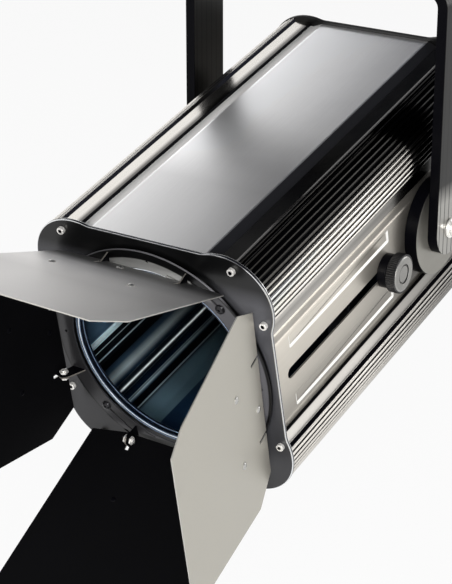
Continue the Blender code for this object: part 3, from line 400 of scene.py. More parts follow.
def finish(name, colour, metallic, rough, shift=0.08, fine=900, stretch=(1, 1, 1), bump=0.05, dust=0.05,
           coat=0.0, gloss=0.5):
    """Procedural finish in the lamp's own axes: tone, speckle, roughness, bump and a dust film."""
    made = bpy.data.materials.new(name)
    made.use_nodes = True
    tree = made.node_tree
    shader = principled(made)
    place = add_node(tree, "TexCoord", {}).outputs["Object"]
    level = add_node(tree, "Mapping", {"Vector": place, "Rotation": (-TILT, 0, 0)}).outputs[0]
    grain = add_node(tree, "Group", {
        "Place": level, "Stretch": stretch, "Colour": (*colour, 1), "Shift": shift, "Fine Scale": fine,
        "Rough Low": rough[0], "Rough High": rough[1]}, node_tree=GRAIN)
    film = add_node(tree, "Group", {"Place": level, "Colour": grain.outputs["Colour"], "Amount": dust},
                    node_tree=DUST)
    set_base(made, film.outputs["Colour"])
    tree.links.new(grain.outputs["Roughness"], shader.inputs["Roughness"])
    if bump > 0:
        relief = add_node(tree, "Bump", {"Height": grain.outputs["Height"], "Strength": bump,
                                         "Distance": BUMP_DEPTH})
        tree.links.new(relief.outputs["Normal"], shader.inputs["Normal"])
    for label, value in (("Metallic", metallic), ("Coat Weight", coat), ("Specular IOR Level", gloss),
                         ("Coat Roughness", COAT_ROUGHNESS)):
        shader.inputs[label].default_value = value
    return made


DRAWN = (1, 0.02, 1)
CLEAN = {"bump": 0.0, "dust": 0.0}
# Pale and black copies of the panel paint for the folded slopes: a painted highlight on the left, painted
# shade on the right.
PAINTED_HIGHLIGHT_SLOPE = finish("panel_left_slope_painted_highlight", (0.97, 0.96, 0.93), 0.0, (0.30, 0.34), shift=0.03, **CLEAN)
PAINTED_SHADE_SLOPE = finish("panel_right_slope_painted_shade", (0.022, 0.022, 0.025), 0.3, (0.29, 0.33), shift=0.1, **CLEAN)
RIVET = finish("rivet", (0.48, 0.48, 0.46), 0.9, (0.14, 0.2), shift=0.1, fine=500, **CLEAN)
# Grey of the top and bottom panels; the tone rows below paint reflected light on it.
PANEL_PAINTED_LIGHT = finish("panel_satin_painted_light", (0.60, 0.595, 0.59), 0.9, (0.29, 0.33), shift=0.04, stretch=DRAWN, bump=0.0)
# Side sheets: beige that is partly the sheet's own colour and partly painted warm reflected light.
SIDE_SHEET_PAINTED_LIGHT = finish("side_panel_beige_painted_light", (0.64, 0.60, 0.53), 0.7, (0.29, 0.34), shift=0.05, stretch=DRAWN,
                    bump=0.0, dust=0.02)
# Ribbed corners: anodised colour, with painted reflections laid over it by the tone rows below.
EXTRUSION_PAINTED_LIGHT = finish("extrusion_anodised_painted_reflections", (0.74, 0.71, 0.66), 1.0, (0.15, 0.19), shift=0.05, stretch=DRAWN,
                   bump=0.0, dust=0.01)
EXTRUSION_LOW_PAINTED_LIGHT = finish("extrusion_lower_painted_reflections", (0.74, 0.71, 0.66), 1.0, (0.29, 0.33), shift=0.05, stretch=DRAWN,
                       bump=0.0, dust=0.01)
# Black paint of the plates; the tone rows below paint light and shade on it.
PLATE_PAINTED_LIGHT = finish("plate_paint_painted_light", (0.036, 0.036, 0.040), 0.2, (0.30, 0.38), shift=0.1, fine=1400, bump=0.06)
# Ring paint; painted light and shade are laid on it below.
RING_PAINTED_LIGHT = finish("ring_paint_painted_light", (0.048, 0.047, 0.051), 0.25, (0.29, 0.36), shift=0.1, fine=1400, bump=0.06)
# Outer faces of the side leaves: beige, painted reflected light.
LEAF_OUT_PAINTED_LIGHT = finish("leaf_outer_painted_light", (0.46, 0.44, 0.385), 0.5, (0.34, 0.40), shift=0.04, fine=1200, bump=0.03,
                  dust=0.02)
# Outer face of the top leaf: grey, painted reflected light.
LEAF_TOP_PAINTED_LIGHT = finish("leaf_top_painted_light", (0.64, 0.63, 0.625), 0.5, (0.32, 0.38), shift=0.04, fine=1200, bump=0.02,
                  dust=0.02)
LEAF_IN = finish("leaf_inner_black", (0.0015, 0.0015, 0.002), 0.0, (0.65, 0.75), shift=0.2, fine=1500,
                 bump=0.05, dust=0.0, gloss=0.06)
ZINC = finish("zinc", (0.92, 0.90, 0.86), 0.5, (0.16, 0.25), shift=0.1, fine=500, dust=0.0)
# Painted highlight on the slopes of the side sheets' pressed strips.
PRESS_SLOPE_HIGHLIGHT = finish("press_slope_painted_highlight", (0.92, 0.91, 0.88), 0.3, (0.30, 0.36), shift=0.03, **CLEAN)
# Painted highlight along the leaves' rims.
LEAF_EDGE_HIGHLIGHT = finish("leaf_edge_painted_highlight", (0.45, 0.44, 0.41), 0.5, (0.29, 0.36), shift=0.05, **CLEAN)
DARK_SCREW = finish("blackened_screw", (0.02, 0.02, 0.022), 0.5, (0.20, 0.26), shift=0.1, fine=600, dust=0.0)
BLACK = finish("moulded_black", (0.002, 0.002, 0.003), 0.0, (0.30, 0.38), shift=0.15, fine=1600, bump=0.04,
               dust=0.0, gloss=0.07)
# Painted highlight on the edges of the ring's ears.
EAR_EDGE_HIGHLIGHT = finish("ear_edge_painted_highlight", (0.28, 0.26, 0.23), 0.6, (0.29, 0.35), shift=0.08, fine=500, dust=0.0)
# Painted highlight along the front plate's rounded rim.
PLATE_RIM_HIGHLIGHT = finish("plate_rim_painted_highlight", (0.82, 0.83, 0.84), 1.0, (0.16, 0.22), shift=0.08, fine=500, dust=0.0)
KNOB_FACE = finish("knob_face", (0.27, 0.265, 0.25), 0.5, (0.30, 0.38), shift=0.3, fine=1100, bump=0.10,
                   dust=0.0)
KNOB_SKIRT = finish("knob_skirt", (0.008, 0.008, 0.009), 0.0, (0.30, 0.36), shift=0.15, fine=1600, bump=0.04,
                    dust=0.0, gloss=0.4)
# Painted highlight on the knob's outer chamfer and on the outer slope of its crown's recess ring.
KNOB_EDGE_HIGHLIGHT = finish("knob_edge_painted_highlight", (0.36, 0.355, 0.34), 0.8, (0.30, 0.36), shift=0.1, **CLEAN)
# Drum faces: beige painted light, with painted shade towards the top from the tone rows.
BOSS_FACE_PAINTED_LIGHT = finish("boss_face_painted_light", (0.27, 0.26, 0.23), 0.5, (0.29, 0.34), shift=0.05, bump=0.0, dust=0.02)
# Near black: black paint on the inner rivet ends, and painted shade on rib grooves, socket insides, ring
# ears, drum walls and the yoke's narrow faces.
BLACK_PAINT_AND_SHADE = finish("black_paint_and_painted_shade", (0.002, 0.002, 0.003), 0.0, (0.29, 0.36), shift=0.1, dust=0.0, gloss=0.04)
SHEET_STEEL = finish("plain_sheet", (0.012, 0.013, 0.016), 0.2, (0.3, 0.42), shift=0.1, stretch=DRAWN)
CERAMIC = finish("glazed_ceramic", (0.72, 0.70, 0.64), 0.0, (0.2, 0.26), shift=0.05, coat=0.4)
MIRROR = finish("reflector_mirror", (0.86, 0.87, 0.88), 1.0, (0.04, 0.08), shift=0.02, dust=0.0)
CAN = finish("ballast_can", (0.05, 0.05, 0.055), 0.3, (0.4, 0.5), shift=0.1)


# Painted light and shade along the lamp, over the finishes

def grey(*stops):
    return [(at, (tone,) * 3) for at, tone in stops]


def tone_bands(made, value, high, stops, start=None):
    """Multiplies a colour, the finish's own if none is given, by tones from the first stop to high: painted
    light and shade.
    """
    tree, low = made.node_tree, stops[0][0]
    share = add_node(tree, "MapRange", {"Value": value, "From Min": low, "From Max": high})
    ramp = add_node(tree, "ValToRGB", {"Fac": share.outputs[0]})
    bands = ramp.color_ramp.elements
    bands.remove(bands[1])
    bands[0].color = (*stops[0][1], 1)
    for at, tone in stops[1:]:
        bands.new((at - low) / (high - low)).color = (*tone, 1)
    set_base(made, mixed(tree, 1.0, ramp.outputs["Color"], start or base_colour(made), "MULTIPLY"))
    return made


def axes_of(made):
    """The outputs of lamp_axes in a finish."""
    return add_node(made.node_tree, "Group", {}, node_tree=AXES).outputs


def graded(made, way, high, stops, start=None):
    """Painted light and shade along one of the ways that lamp_axes names."""
    return tone_bands(made, axes_of(made)[way], high, stops, start)


def hard_bands(spans, blend):
    """Stops for bands given as (start, tone), with a short blend between them."""
    stops = []
    for (start, tone), (following, _) in zip(spans, spans[1:]):
        stops += [(start, tone), (following - blend, tone)]
    return stops + [spans[-1]]


# Inner wall bands: navy, blue and teal as the walls' tones, ice and steel blue for painted highlights, ink
# for painted shade.
INK_SHADE, NAVY, BLUE, TEAL = (0.002, 0.003, 0.005), (0.010, 0.028, 0.06), (0.05, 0.095, 0.15), (0.10, 0.17, 0.21)
ICE_HIGHLIGHT, STEEL_BLUE_HIGHLIGHT = (0.75, 0.95, 1.0), (0.85, 0.98, 1.0)
LINER_PAINTED_LIGHT_BANDS = (
    (0, NAVY), (0.030, BLUE), (0.0570, BLUE), (0.0575, ICE_HIGHLIGHT), (0.0655, ICE_HIGHLIGHT), (0.066, INK_SHADE), (0.0742, INK_SHADE),
    (0.0748, ICE_HIGHLIGHT), (0.0757, ICE_HIGHLIGHT), (0.0763, INK_SHADE), (0.0822, INK_SHADE), (0.0828, ICE_HIGHLIGHT), (0.0835, ICE_HIGHLIGHT), (0.0841, INK_SHADE),
    (0.097, INK_SHADE), (0.106, BLUE), (0.1135, STEEL_BLUE_HIGHLIGHT), (0.119, BLUE), (0.122, NAVY), (0.130, INK_SHADE),
    (0.1388, NAVY), (0.1396, ICE_HIGHLIGHT), (0.1404, INK_SHADE), (0.1416, ICE_HIGHLIGHT), (0.1438, BLUE), (0.1455, INK_SHADE), (0.1525, INK_SHADE),
    (0.1532, ICE_HIGHLIGHT), (0.1544, INK_SHADE), (0.158, TEAL), (0.1855, TEAL), (0.187, NAVY))


def painted_light_liner():
    """Dark blue inner walls whose tone runs in long bands, by the share of a turn round the beam axis. The
    pale bands are painted highlights, the near black ones painted shade, and the walls are lighter near the
    opening and darken towards the rear as painted shade.
    """
    made = finish("inner_walls_painted_light", (1, 1, 1), 0.0, (0.3, 0.4), shift=0.06, stretch=DRAWN, dust=0.0, gloss=0.1)
    share = maths(made.node_tree, "MULTIPLY_ADD", axes_of(made)["Turn"], 1 / 360, 0.5)
    tone_bands(made, share, 0.19, LINER_PAINTED_LIGHT_BANDS)
    return graded(made, "Depth", 0.5, grey((0, 1.7), (0.05, 1.5), (0.12, 0.55), (0.22, 0.15), (0.5, 0.08)))


def seal_with_painted_highlights():
    """Blue black seal with thin pale lines by the distance from the beam axis: the pale lines are painted
    highlights on its lips.
    """
    made = finish("lens_seal_painted_highlights", (0.92, 0.96, 1.0), 0.1, (0.16, 0.24), shift=0.15, fine=1300, dust=0.0)
    # The middle and white tones are painted highlights.
    dark, middle, white = (0.008, 0.012, 0.022), (0.35, 0.45, 0.6), (1.0, 1.0, 1.0)
    return graded(made, "Radius", 0.117, hard_bands(
        ((0.1090, dark), (0.1112, middle), (0.1120, dark), (0.1127, white), (0.1137, dark), (0.1147, middle),
         (0.1151, dark), (0.1161, middle), (0.1164, dark)), 0.0001))


def rod_with_painted_highlight():
    """Round rod with one thin bright line painted along it as a highlight."""
    made = finish("ground_rod_painted_highlight", (0.95, 1.0, 0.98), 0.0, (0.29, 0.33), shift=0.02, dust=0.0, gloss=0.2)
    tree, axes = made.node_tree, axes_of(made)
    rod_x, rod_z, facing_x, facing_z = 0.088, -0.087, 0.62, 0.79
    level = maths(tree, "MULTIPLY_ADD", maths(tree, "ABSOLUTE", axes["Across"], 0), facing_x,
                  -facing_x * rod_x - facing_z * rod_z)
    level = maths(tree, "MULTIPLY_ADD", axes["Height"], facing_z, level)
    # Black and edge are painted shade either side of the bright painted highlight.
    black, edge, bright = (0.004, 0.006, 0.010), (0.25,) * 3, (1.05,) * 3
    return tone_bands(made, level, 0.004, (
        (-0.004, black), (-0.0020, black), (-0.0011, edge), (-0.0005, bright), (0.0007, bright),
        (0.0013, edge), (0.0022, black), (0.004, black)))


def paint_ring_top_light_and_shade(made):
    """Pale inner half, black outer half and pale rim at the top of the ring: painted highlights on the inner
    half and rim, a painted shadow on the outer half, and a painted shadow line round the whole outer edge.
    """
    tree, axes, bare = made.node_tree, axes_of(made), base_colour(made)
    # Painted shadow line round the ring's whole outer edge.
    graded(made, "Radius", 0.141, grey((0.117, 1.0), (0.1368, 1.0), (0.1378, 0.03)))
    plain = base_colour(made)
    # Pale and rim are painted highlights, black a painted shadow, faded in towards the top.
    pale, black, rim = (6.0, 6.1, 5.4), (0.05,) * 3, (3.0,) * 3
    graded(made, "Radius", 0.141, (
        (0.117, pale), (0.1292, pale), (0.1302, black), (0.1388, black), (0.1393, rim)), bare)
    share = add_node(tree, "MapRange", {"Value": axes["Height"], "From Min": 0.095, "From Max": 0.112})
    set_base(made, mixed(tree, share.outputs[0], plain, base_colour(made)))


def yoke_with_painted_stripes_and_shadow():
    """Drawn bar with thin dark stripes painted along its wide faces, at set distances across its width,
    standing in for bands of reflection, and a painted shadow over it above its round ends.
    """
    made = finish("yoke_bar", (0.46, 0.45, 0.42), 0.85, (0.29, 0.36), shift=0.06, stretch=(1, 1, 0.02))
    tree = made.node_tree
    place = add_node(tree, "SeparateXYZ", {0: add_node(tree, "TexCoord", {}).outputs["Object"]}).outputs
    wave = maths(tree, "PINGPONG", place["Y"], 0.0053)
    # Dark stripes painted across the wide faces, standing in for bands of reflection.
    painted_stripe = add_node(tree, "MapRange", {"Value": wave, "From Min": 0.0040, "From Max": 0.0050})
    set_base(made, mixed(tree, painted_stripe.outputs[0], base_colour(made), (0.03, 0.03, 0.032, 1)))
    # Painted shadow over the bar above its round ends.
    return tone_bands(made, place["Z"], 0, grey((-0.33, 0.85), (-0.255, 0.85), (-0.232, 0.03), (0, 0.02)))


def clear_glass(name, tint, rough, see_through):
    """Nearly index-matched glass with the opacity given."""
    made = finish(name, tint, 0.0, (rough, rough + 0.02), shift=0.02, **CLEAN)
    for label, value in (("Transmission Weight", 1.0), ("IOR", 1.01), ("Specular IOR Level", 0.04),
                         ("Alpha", see_through)):
        principled(made).inputs[label].default_value = value
    return made


PAINTED_LIGHT_LINER, SEAL_WITH_PAINTED_HIGHLIGHTS, ROD_WITH_PAINTED_HIGHLIGHT = painted_light_liner(), seal_with_painted_highlights(), rod_with_painted_highlight()
# Each row paints light and shade into a finish: pools of reflected light, painted shadows and darker fades
# along the lamp.
PAINTED_LIGHT_TONES = (
    # Top leaf: painted reflection, lighter on the left.
    (LEAF_TOP_PAINTED_LIGHT, "Across", 0.14, ((-0.14, 1.05), (-0.04, 0.95), (0.04, 0.68), (0.11, 0.42))),
    # Front plate: painted shade at the bottom and a painted shadow along the top strip.
    (PLATE_PAINTED_LIGHT, "Height", 0.15, (
        (-0.15, 0.25), (-0.07, 0.5), (0.0, 1.2), (0.10, 1.1), (0.122, 0.04), (0.15, 0.04))),
    # Ribbed corners: painted reflection round each corner, near black over the upper ribs and brighter
    # towards the sides, a dark painted band at the top-left groove, and a painted shadow towards the rear on
    # the right.
    (EXTRUSION_PAINTED_LIGHT, "Turn", 180, (
        (-180, 0.8), (24, 0.55), (26.7, 0.4), (28.6, 0.65), (31, 1.15), (38.5, 1.3), (40.1, 0.5),
        (42.0, 0.12), (44, 0.045), (58, 0.03), (121, 0.01), (122.3, 0.01), (122.5, 0.7), (180, 0.8))),
    (EXTRUSION_PAINTED_LIGHT, "Right Depth", 0.5, (
        (0, 1.2), (0.16, 1.0), (0.26, 0.55), (0.31, 0.3), (0.35, 0.05), (0.5, 0.04))),
    (EXTRUSION_LOW_PAINTED_LIGHT, "Turn", 180, (
        (-180, 0.8), (-60, 0.5), (-46, 0.7), (-36, 0.9), (-29, 1.15), (-24, 1.0), (180, 1.0))),
    (EXTRUSION_LOW_PAINTED_LIGHT, "Right Depth", 0.5, ((0, 1.1), (0.16, 1.0), (0.26, 0.6), (0.36, 0.3), (0.5, 0.15))),
    # Side sheets: a painted shadow fading to dark towards the rear on the right, painted shade low down and a
    # painted highlight along the top bend.
    (SIDE_SHEET_PAINTED_LIGHT, "Right Depth", 0.5, (
        (0, 1.1), (0.16, 1.0), (0.22, 0.8), (0.26, 0.65), (0.29, 0.3), (0.34, 0.1), (0.5, 0.08))),
    (SIDE_SHEET_PAINTED_LIGHT, "Height", 0.08, (
        (-0.08, 0.9), (-0.057, 1.0), (-0.05, 0.6), (-0.046, 0.45), (-0.035, 0.52), (-0.018, 0.72),
        (0.02, 0.88), (0.045, 1.0), (0.0515, 1.15), (0.057, 1.6), (0.064, 1.3))),
    # Top and bottom panels: painted reflection, lighter on the left and towards the rear.
    (PANEL_PAINTED_LIGHT, "Across", 0.15, (
        (-0.15, 1.25), (-0.07, 1.25), (-0.02, 1.1), (0.02, 1.06), (0.06, 0.95), (0.15, 0.9))),
    (PANEL_PAINTED_LIGHT, "Depth", 0.5, ((0, 1.0), (0.13, 1.02), (0.2, 1.5), (0.5, 1.55))),
    # Drum faces: painted shade towards the top.
    (BOSS_FACE_PAINTED_LIGHT, "Height", 0.06, ((-0.06, 0.85), (0.0, 1.0), (0.03, 0.5), (0.055, 0.1))),
    # Top leaf: painted light along its depth, darkening as painted shade towards its hinge.
    (LEAF_TOP_PAINTED_LIGHT, "Depth", 0, (
        (-0.25, 1.3), (-0.12, 1.15), (-0.08, 1.4), (-0.05, 1.35), (-0.037, 0.8), (-0.028, 0.35),
        (-0.02, 0.3))),
    # Ring: painted shade on the left, painted light on the right.
    (RING_PAINTED_LIGHT, "Across", 0.14, ((-0.14, 0.35), (-0.05, 0.6), (0.05, 1.2), (0.12, 2.0))),
    # Front plate: painted shade behind the ring, seen black through its slots and holes, and painted
    # reflection lighter at both sides.
    (PLATE_PAINTED_LIGHT, "Radius", 0.25, ((0, 0.04), (0.1375, 0.04), (0.1395, 1.0), (0.25, 1.0))),
    (PLATE_PAINTED_LIGHT, "Across", 0.15, ((-0.15, 1.5), (-0.1, 1.1), (-0.05, 1.0), (0.05, 1.0), (0.12, 1.8))))
for look, way, high, stops in PAINTED_LIGHT_TONES:
    graded(look, way, high, grey(*stops))
paint_ring_top_light_and_shade(RING_PAINTED_LIGHT)
YOKE_BAR_PAINTED_LIGHT = yoke_with_painted_stripes_and_shadow()
GLASS = clear_glass("front_glass_clear", (0.80, 0.89, 0.94), 0.0, 0.25)
BULB = clear_glass("lamp_glass_clear", (0.93, 0.95, 0.96), 0.02, 0.6)


# Housing

def seen_from(place, point, normal):
    """A face's centre and normal in a piece's own axes."""
    return place.inverted() @ point, place.to_3x3().inverted() @ normal


def outward_split(point, normal):
    """1 for inner walls, 2 for outer faces that look back towards the beam axis, painted black as shade in
    the grooves between ribs and at the band ends, 0 for the rest.
    """
    local, facing = seen_from(LAMP, point, normal)
    if facing.x * local.x + facing.z * local.z > -0.0001:
        return 0
    x, z = abs(local.x), abs(local.z)
    if abs(z - BAND_END_Z) < 0.0006 or abs(x - BAND_END_X) < 0.0006:
        return 2
    inside = math.hypot(max(x - CORNER_X, 0), max(z - CORNER_Z, 0)) < INNER_CORNER + 0.0005
    return 1 if inside and x < 0.1437 and z < 0.1457 else 2


def fold_split(point, normal):
    """3 for the left slope of the top and bottom panel, which gets a painted highlight, 4 for the right one,
    which gets painted shade.
    """
    side = outward_split(point, normal)
    across = (LAMP.inverted() @ point).x
    if side == 0 and abs(across) > 0.0745:
        return 3 if across < 0 else 4
    return side


def rib_section():
    """Rounded ribs round the corner, flat bands at both ends, two screw bosses inside."""
    tip, shoulder, root, count = 0.0575, 0.0569, 0.0535, 13
    first, last, fill = math.radians(70.1), math.radians(-12.1), 0.644
    pitch = (first - last) / (count - 1 + fill)
    points = [(BAND_END_X, 0.1423), (BAND_END_X, 0.147), (0.1095, 0.147)]
    for i in range(count):
        start = first - i * pitch
        end = start - fill * pitch
        crown = 0.12 * pitch
        points += arc(CORNER_X, CORNER_Z, shoulder, start, start - crown, 1)
        points += arc(CORNER_X, CORNER_Z, tip, start - 1.6 * crown, end + 1.6 * crown, 2)
        points += arc(CORNER_X, CORNER_Z, shoulder, end + crown, end, 1)
        if i < count - 1:
            points += arc(CORNER_X, CORNER_Z, root, end, start - pitch, 1)
    points += [(0.145, 0.0815), (0.145, BAND_END_Z), (0.1403, BAND_END_Z), (0.1403, 0.0665), (0.1425, 0.0665),
               (0.1425, 0.0752), (0.1352, 0.0752), (0.1352, 0.0852)]
    points += arc(CORNER_X, CORNER_Z, INNER_CORNER, math.radians(-12), math.radians(66.6), 14)
    points += [(0.114, 0.1346), (0.104, 0.1346), (0.104, 0.1445), (0.0925, 0.1445), (0.0925, 0.1423)]
    return points


def housing():
    """Four ribbed corners, and the top and bottom panels with their long edges folded down."""
    section = soften(rib_section(), 0.0003, 1)
    for name, sx, sz in (("top_right", 1, 1), ("top_left", -1, 1), ("bottom_right", 1, -1),
                         ("bottom_left", -1, -1)):
        shape = sheet([flip(section, sx, sz)], HOUSING_LENGTH, 0.0002)
        piece("ribbed_corner_" + name, [(shape, EXTRUDED)], "housing",
              [EXTRUSION_PAINTED_LIGHT if sz > 0 else EXTRUSION_LOW_PAINTED_LIGHT, PAINTED_LIGHT_LINER, BLACK_PAINT_AND_SHADE],
              ["corner_extrusion_" + name], outward_split)
    flat, reach, tongue, low = 0.074, 0.086, 0.099, 0.142
    bend = soften([(-reach, low), (-flat, 0.147), (flat, 0.147), (reach, low)], 0.0025, 4, False)
    upper = [(-tongue, low)] + bend + [(tongue, low)]
    lower = [(x, z - FOLD_THICK) for x, z in upper[::-1]]
    for name, sz in (("top_panel", 1), ("bottom_panel", -1)):
        shape = sheet([flip(upper + lower, 1, sz)], HOUSING_LENGTH, 0.0002)
        piece("folded_" + name, [(shape, EXTRUDED)], "housing",
              [PANEL_PAINTED_LIGHT, PAINTED_LIGHT_LINER, PANEL_PAINTED_LIGHT, PAINTED_HIGHLIGHT_SLOPE, PAINTED_SHADE_SLOPE], [name], fold_split)


def plate_outline():
    """Square with straight sides that swell out round the corners."""
    blend, count = 0.030, 26
    reach = PLATE_RADIUS + blend
    top = math.acos((PLATE_Z + blend - CORNER_Z) / reach)
    side = math.acos((PLATE_X + blend - CORNER_X) / reach)
    into = arc(CORNER_X - reach * math.sin(top), PLATE_Z + blend, blend, -PI / 2, top - PI / 2, 5)
    corner = arc(CORNER_X, CORNER_Z, PLATE_RADIUS, PI / 2 + top, -side, count)
    away = arc(PLATE_X + blend, CORNER_Z - reach * math.sin(side), blend, PI - side, PI, 5)
    quarter = into[:-1] + corner + away[1:]
    return (quarter + flip(quarter, 1, -1)[::-1] + flip(quarter, -1, -1) + flip(quarter, -1, 1)[::-1])


SCREWS = [(sx * 0.109, sz * 0.1396) for sz in (1, -1) for sx in (1, -1)]
SCREWS += [(sx * 0.1402, sz * 0.0802) for sx in (1, -1) for sz in (1, -1)]


def plates():
    """Front plate with its round opening, and rear cover with slots and the inlet's hole."""
    opening, screw_hole, inlet_hole, edge = 0.115, 0.0027, 0.0113, 0.0011
    loops = [plate_outline(), circle(0, 0, opening, 96)] + [circle(x, z, screw_hole, 16) for x, z in SCREWS]
    front = sheet(loops, PLATE_THICK, edge)

    # The plate's rounded outer rim gets a painted highlight.
    def rim_or_face(point, normal):
        local, facing = seen_from(LAMP, point, normal)
        x, z = abs(local.x), abs(local.z)
        swollen = math.hypot(x - CORNER_X, z - CORNER_Z) > PLATE_RADIUS - 0.0015 and min(x, z) > 0.09
        outer = x > PLATE_X - 0.0015 or z > PLATE_Z - 0.0015 or swollen
        return 1 if outer and 0.15 < abs(facing.y) < 0.97 else 0

    piece("front_frame", [(front, LAMP @ moved(y=PLATE_THICK / 2) @ FRONT)], "housing", [PLATE_PAINTED_LIGHT, PLATE_RIM_HIGHLIGHT],
          ["front_plate"], rim_or_face)
    loops = [plate_outline()] + [circle(x, z, screw_hole, 16) for x, z in SCREWS[:4]]
    vents, vent_pitch, vent_middle = 9, 0.008, 0.026
    for i in range(vents):
        loops.append(stadium(-0.032, 0.032, vent_middle + (i - vents // 2) * vent_pitch, 0.002, 6))
    loops.append(circle(-0.085, -0.085, inlet_hole, 32))
    rear = sheet(loops, PLATE_THICK, edge)
    piece("rear_cover", [(rear, LAMP @ moved(y=HOUSING_REAR + GAP + PLATE_THICK / 2) @ FRONT)],
          "housing", [PLATE_PAINTED_LIGHT], ["rear_plate"])


def socket_head(radius, height, socket, depth):
    """Screw head with a rounded rim and a six-sided socket."""
    top = soften([(socket * 1.02, height), (radius, height), (radius, 0.0002), (0, 0.0002)], 0.0005, 3, False)
    head = turned(top, 32)
    hexagon = bmesh.new()
    upper, lower = ([hexagon.verts.new((x, y, level)) for x, y in circle(0, 0, socket, 6)]
                    for level in (height, height - depth))
    wall(hexagon, lower, upper)
    hexagon.faces.new(lower)
    return head, hexagon


def socket_painted_shade(at, radius):
    """1 for the faces inside a screw's socket, painted black as shade."""
    back = at.inverted()

    def choose(point, normal):
        local = back @ point
        return 1 if math.hypot(local.x, local.y) < radius and local.z > 0 else 0

    return choose


def screws():
    """Knurled cap screws of both plates, and the ring's button screws on their spacers."""
    rear = HOUSING_REAR + GAP + PLATE_THICK
    head_radius = 0.00425
    places = [("front_screw_%d" % (i + 1), x, z, 0, 1) for i, (x, z) in enumerate(SCREWS)]
    places += [("rear_screw_%d" % (i + 1), x, z, rear, -1) for i, (x, z) in enumerate(SCREWS[:4])]
    for name, x, z, y, way in places:
        head, hexagon = socket_head(head_radius, 0.005, 0.0022, 0.0026)
        band = sheet([round_loop(96, lambda t: head_radius + 0.00012 * math.cos(24 * t))], 0.003, 0.0002)
        at = LAMP @ moved(x, y, z) @ (FRONT if way > 0 else Matrix.Rotation(-PI / 2, 4, "X"))
        piece("cap_" + name, [(head, at), (hexagon, at), (band, at @ moved(z=0.0019))],
              "housing", [ZINC, BLACK_PAINT_AND_SHADE], [name], socket_painted_shade(at, 0.0023))
    reach = SLOT_RADIUS * math.sqrt(0.5)
    for i, (x, z) in enumerate([(sx * reach, sz * reach) for sz in (1, -1) for sx in (1, -1)]):
        at = LAMP @ moved(x, -0.0065, z) @ FRONT
        profile = [(0.0016, 0.0029), (0.0034, 0.0026), (0.0050, 0.0017), (0.0059, 0.0004), (0.0059, 0),
                   (0, 0)]
        head = turned(soften(profile, 0.0004, 2, False), 32)
        _, hexagon = socket_head(0.005, 0.0029, 0.0016, 0.0018)
        spacer = cylinder(0.005, -0.0026, -0.0062, 32)
        shank = cylinder(0.0015, 0, -0.003)
        piece("button_screw_%d" % (i + 1), [(head, at), (hexagon, at), (spacer, at), (shank, at)], "housing",
              [DARK_SCREW], ["ring_screw_%d" % (i + 1)])


def frustum(loop, levels):
    """Closed shape with the outline drawn in by each level's inset, at each level's height."""
    shape = bmesh.new()
    loop = loop if area_of(loop) > 0 else loop[::-1]
    rings = [[shape.verts.new((x, y, h)) for x, y in inset(loop, d)] for d, h in levels]
    for low, high in zip(rings, rings[1:]):
        wall(shape, low, high)
    shape.faces.new(rings[0][::-1])
    shape.faces.new(rings[-1])
    return shape


def stadium(low, high, across, half, count=10):
    """Slot outline with round ends."""
    return (arc(high - half, across, half, -PI / 2, PI / 2, count)
            + arc(low + half, across, half, PI / 2, 1.5 * PI, count))


def slope_split(point, normal):
    """3 for the slopes of the pressed strips that face up, to the rear or to the front, which get a painted
    highlight.
    """
    local, facing = seen_from(LAMP, point, normal)
    in_strip = 0.028 < abs(local.z) < 0.048 and 0.030 < local.y < 0.255 and abs(local.x) > 0.1434
    outward = facing.x * local.x > 0 and abs(facing.x) < 0.97
    if in_strip and outward and (facing.z > 0.2 or abs(facing.y) > 0.2):
        return 3
    return outward_split(point, normal)


def side_sheets():
    """Folded side sheets with rounded bends and two pressed strips. The knob side has its slot."""
    plane, flat, reach, tongue, low = 0.145, 0.050, 0.055, 0.068, 0.140
    bend = soften([(low, -reach), (plane, -flat), (plane, flat), (low, reach)], 0.0022, 4, False)
    outer = [(low, -tongue)] + bend + [(low, tongue)]
    section = outer + [(x - FOLD_THICK, z) for x, z in outer[::-1]]
    press = [(-0.0006, 0.0006), (0, 0), (0.0003, -0.0001), (0.0029, -0.0013), (0.0033, -0.0014)]
    for name, side in (("side_panel_right", 1), ("side_panel_left", -1)):
        shape = sheet([flip(section, side, 1)], HOUSING_LENGTH, 0.0002)
        made = piece("folded_" + name, [(shape, EXTRUDED)], "housing", [SIDE_SHEET_PAINTED_LIGHT, PAINTED_LIGHT_LINER], [name])
        at = LAMP @ Matrix.Diagonal((side, 1, 1, 1)) @ moved(plane) @ SIDE
        cutters = []
        for near, far in ((0.0296, 0.046), (-0.046, -0.0296)):
            loop = soften([(0.032, near), (0.253, near), (0.253, far), (0.032, far)], 0.0025, 4)
            cutters.append(("DIFFERENCE", frustum(loop, press), at))
        cutters.append(("DIFFERENCE", sheet([circle(PIVOT_Y, 0, PIVOT_BORE, 32)], 0.02, 0.0001), at))
        if side > 0:
            cutters.append(("DIFFERENCE", sheet([stadium(0.0224, 0.249, 0, 0.0067)], 0.02, 0.0001), at))
        carve(made, cutters, [SIDE_SHEET_PAINTED_LIGHT, PAINTED_LIGHT_LINER, SIDE_SHEET_PAINTED_LIGHT, PRESS_SLOPE_HIGHLIGHT], slope_split)


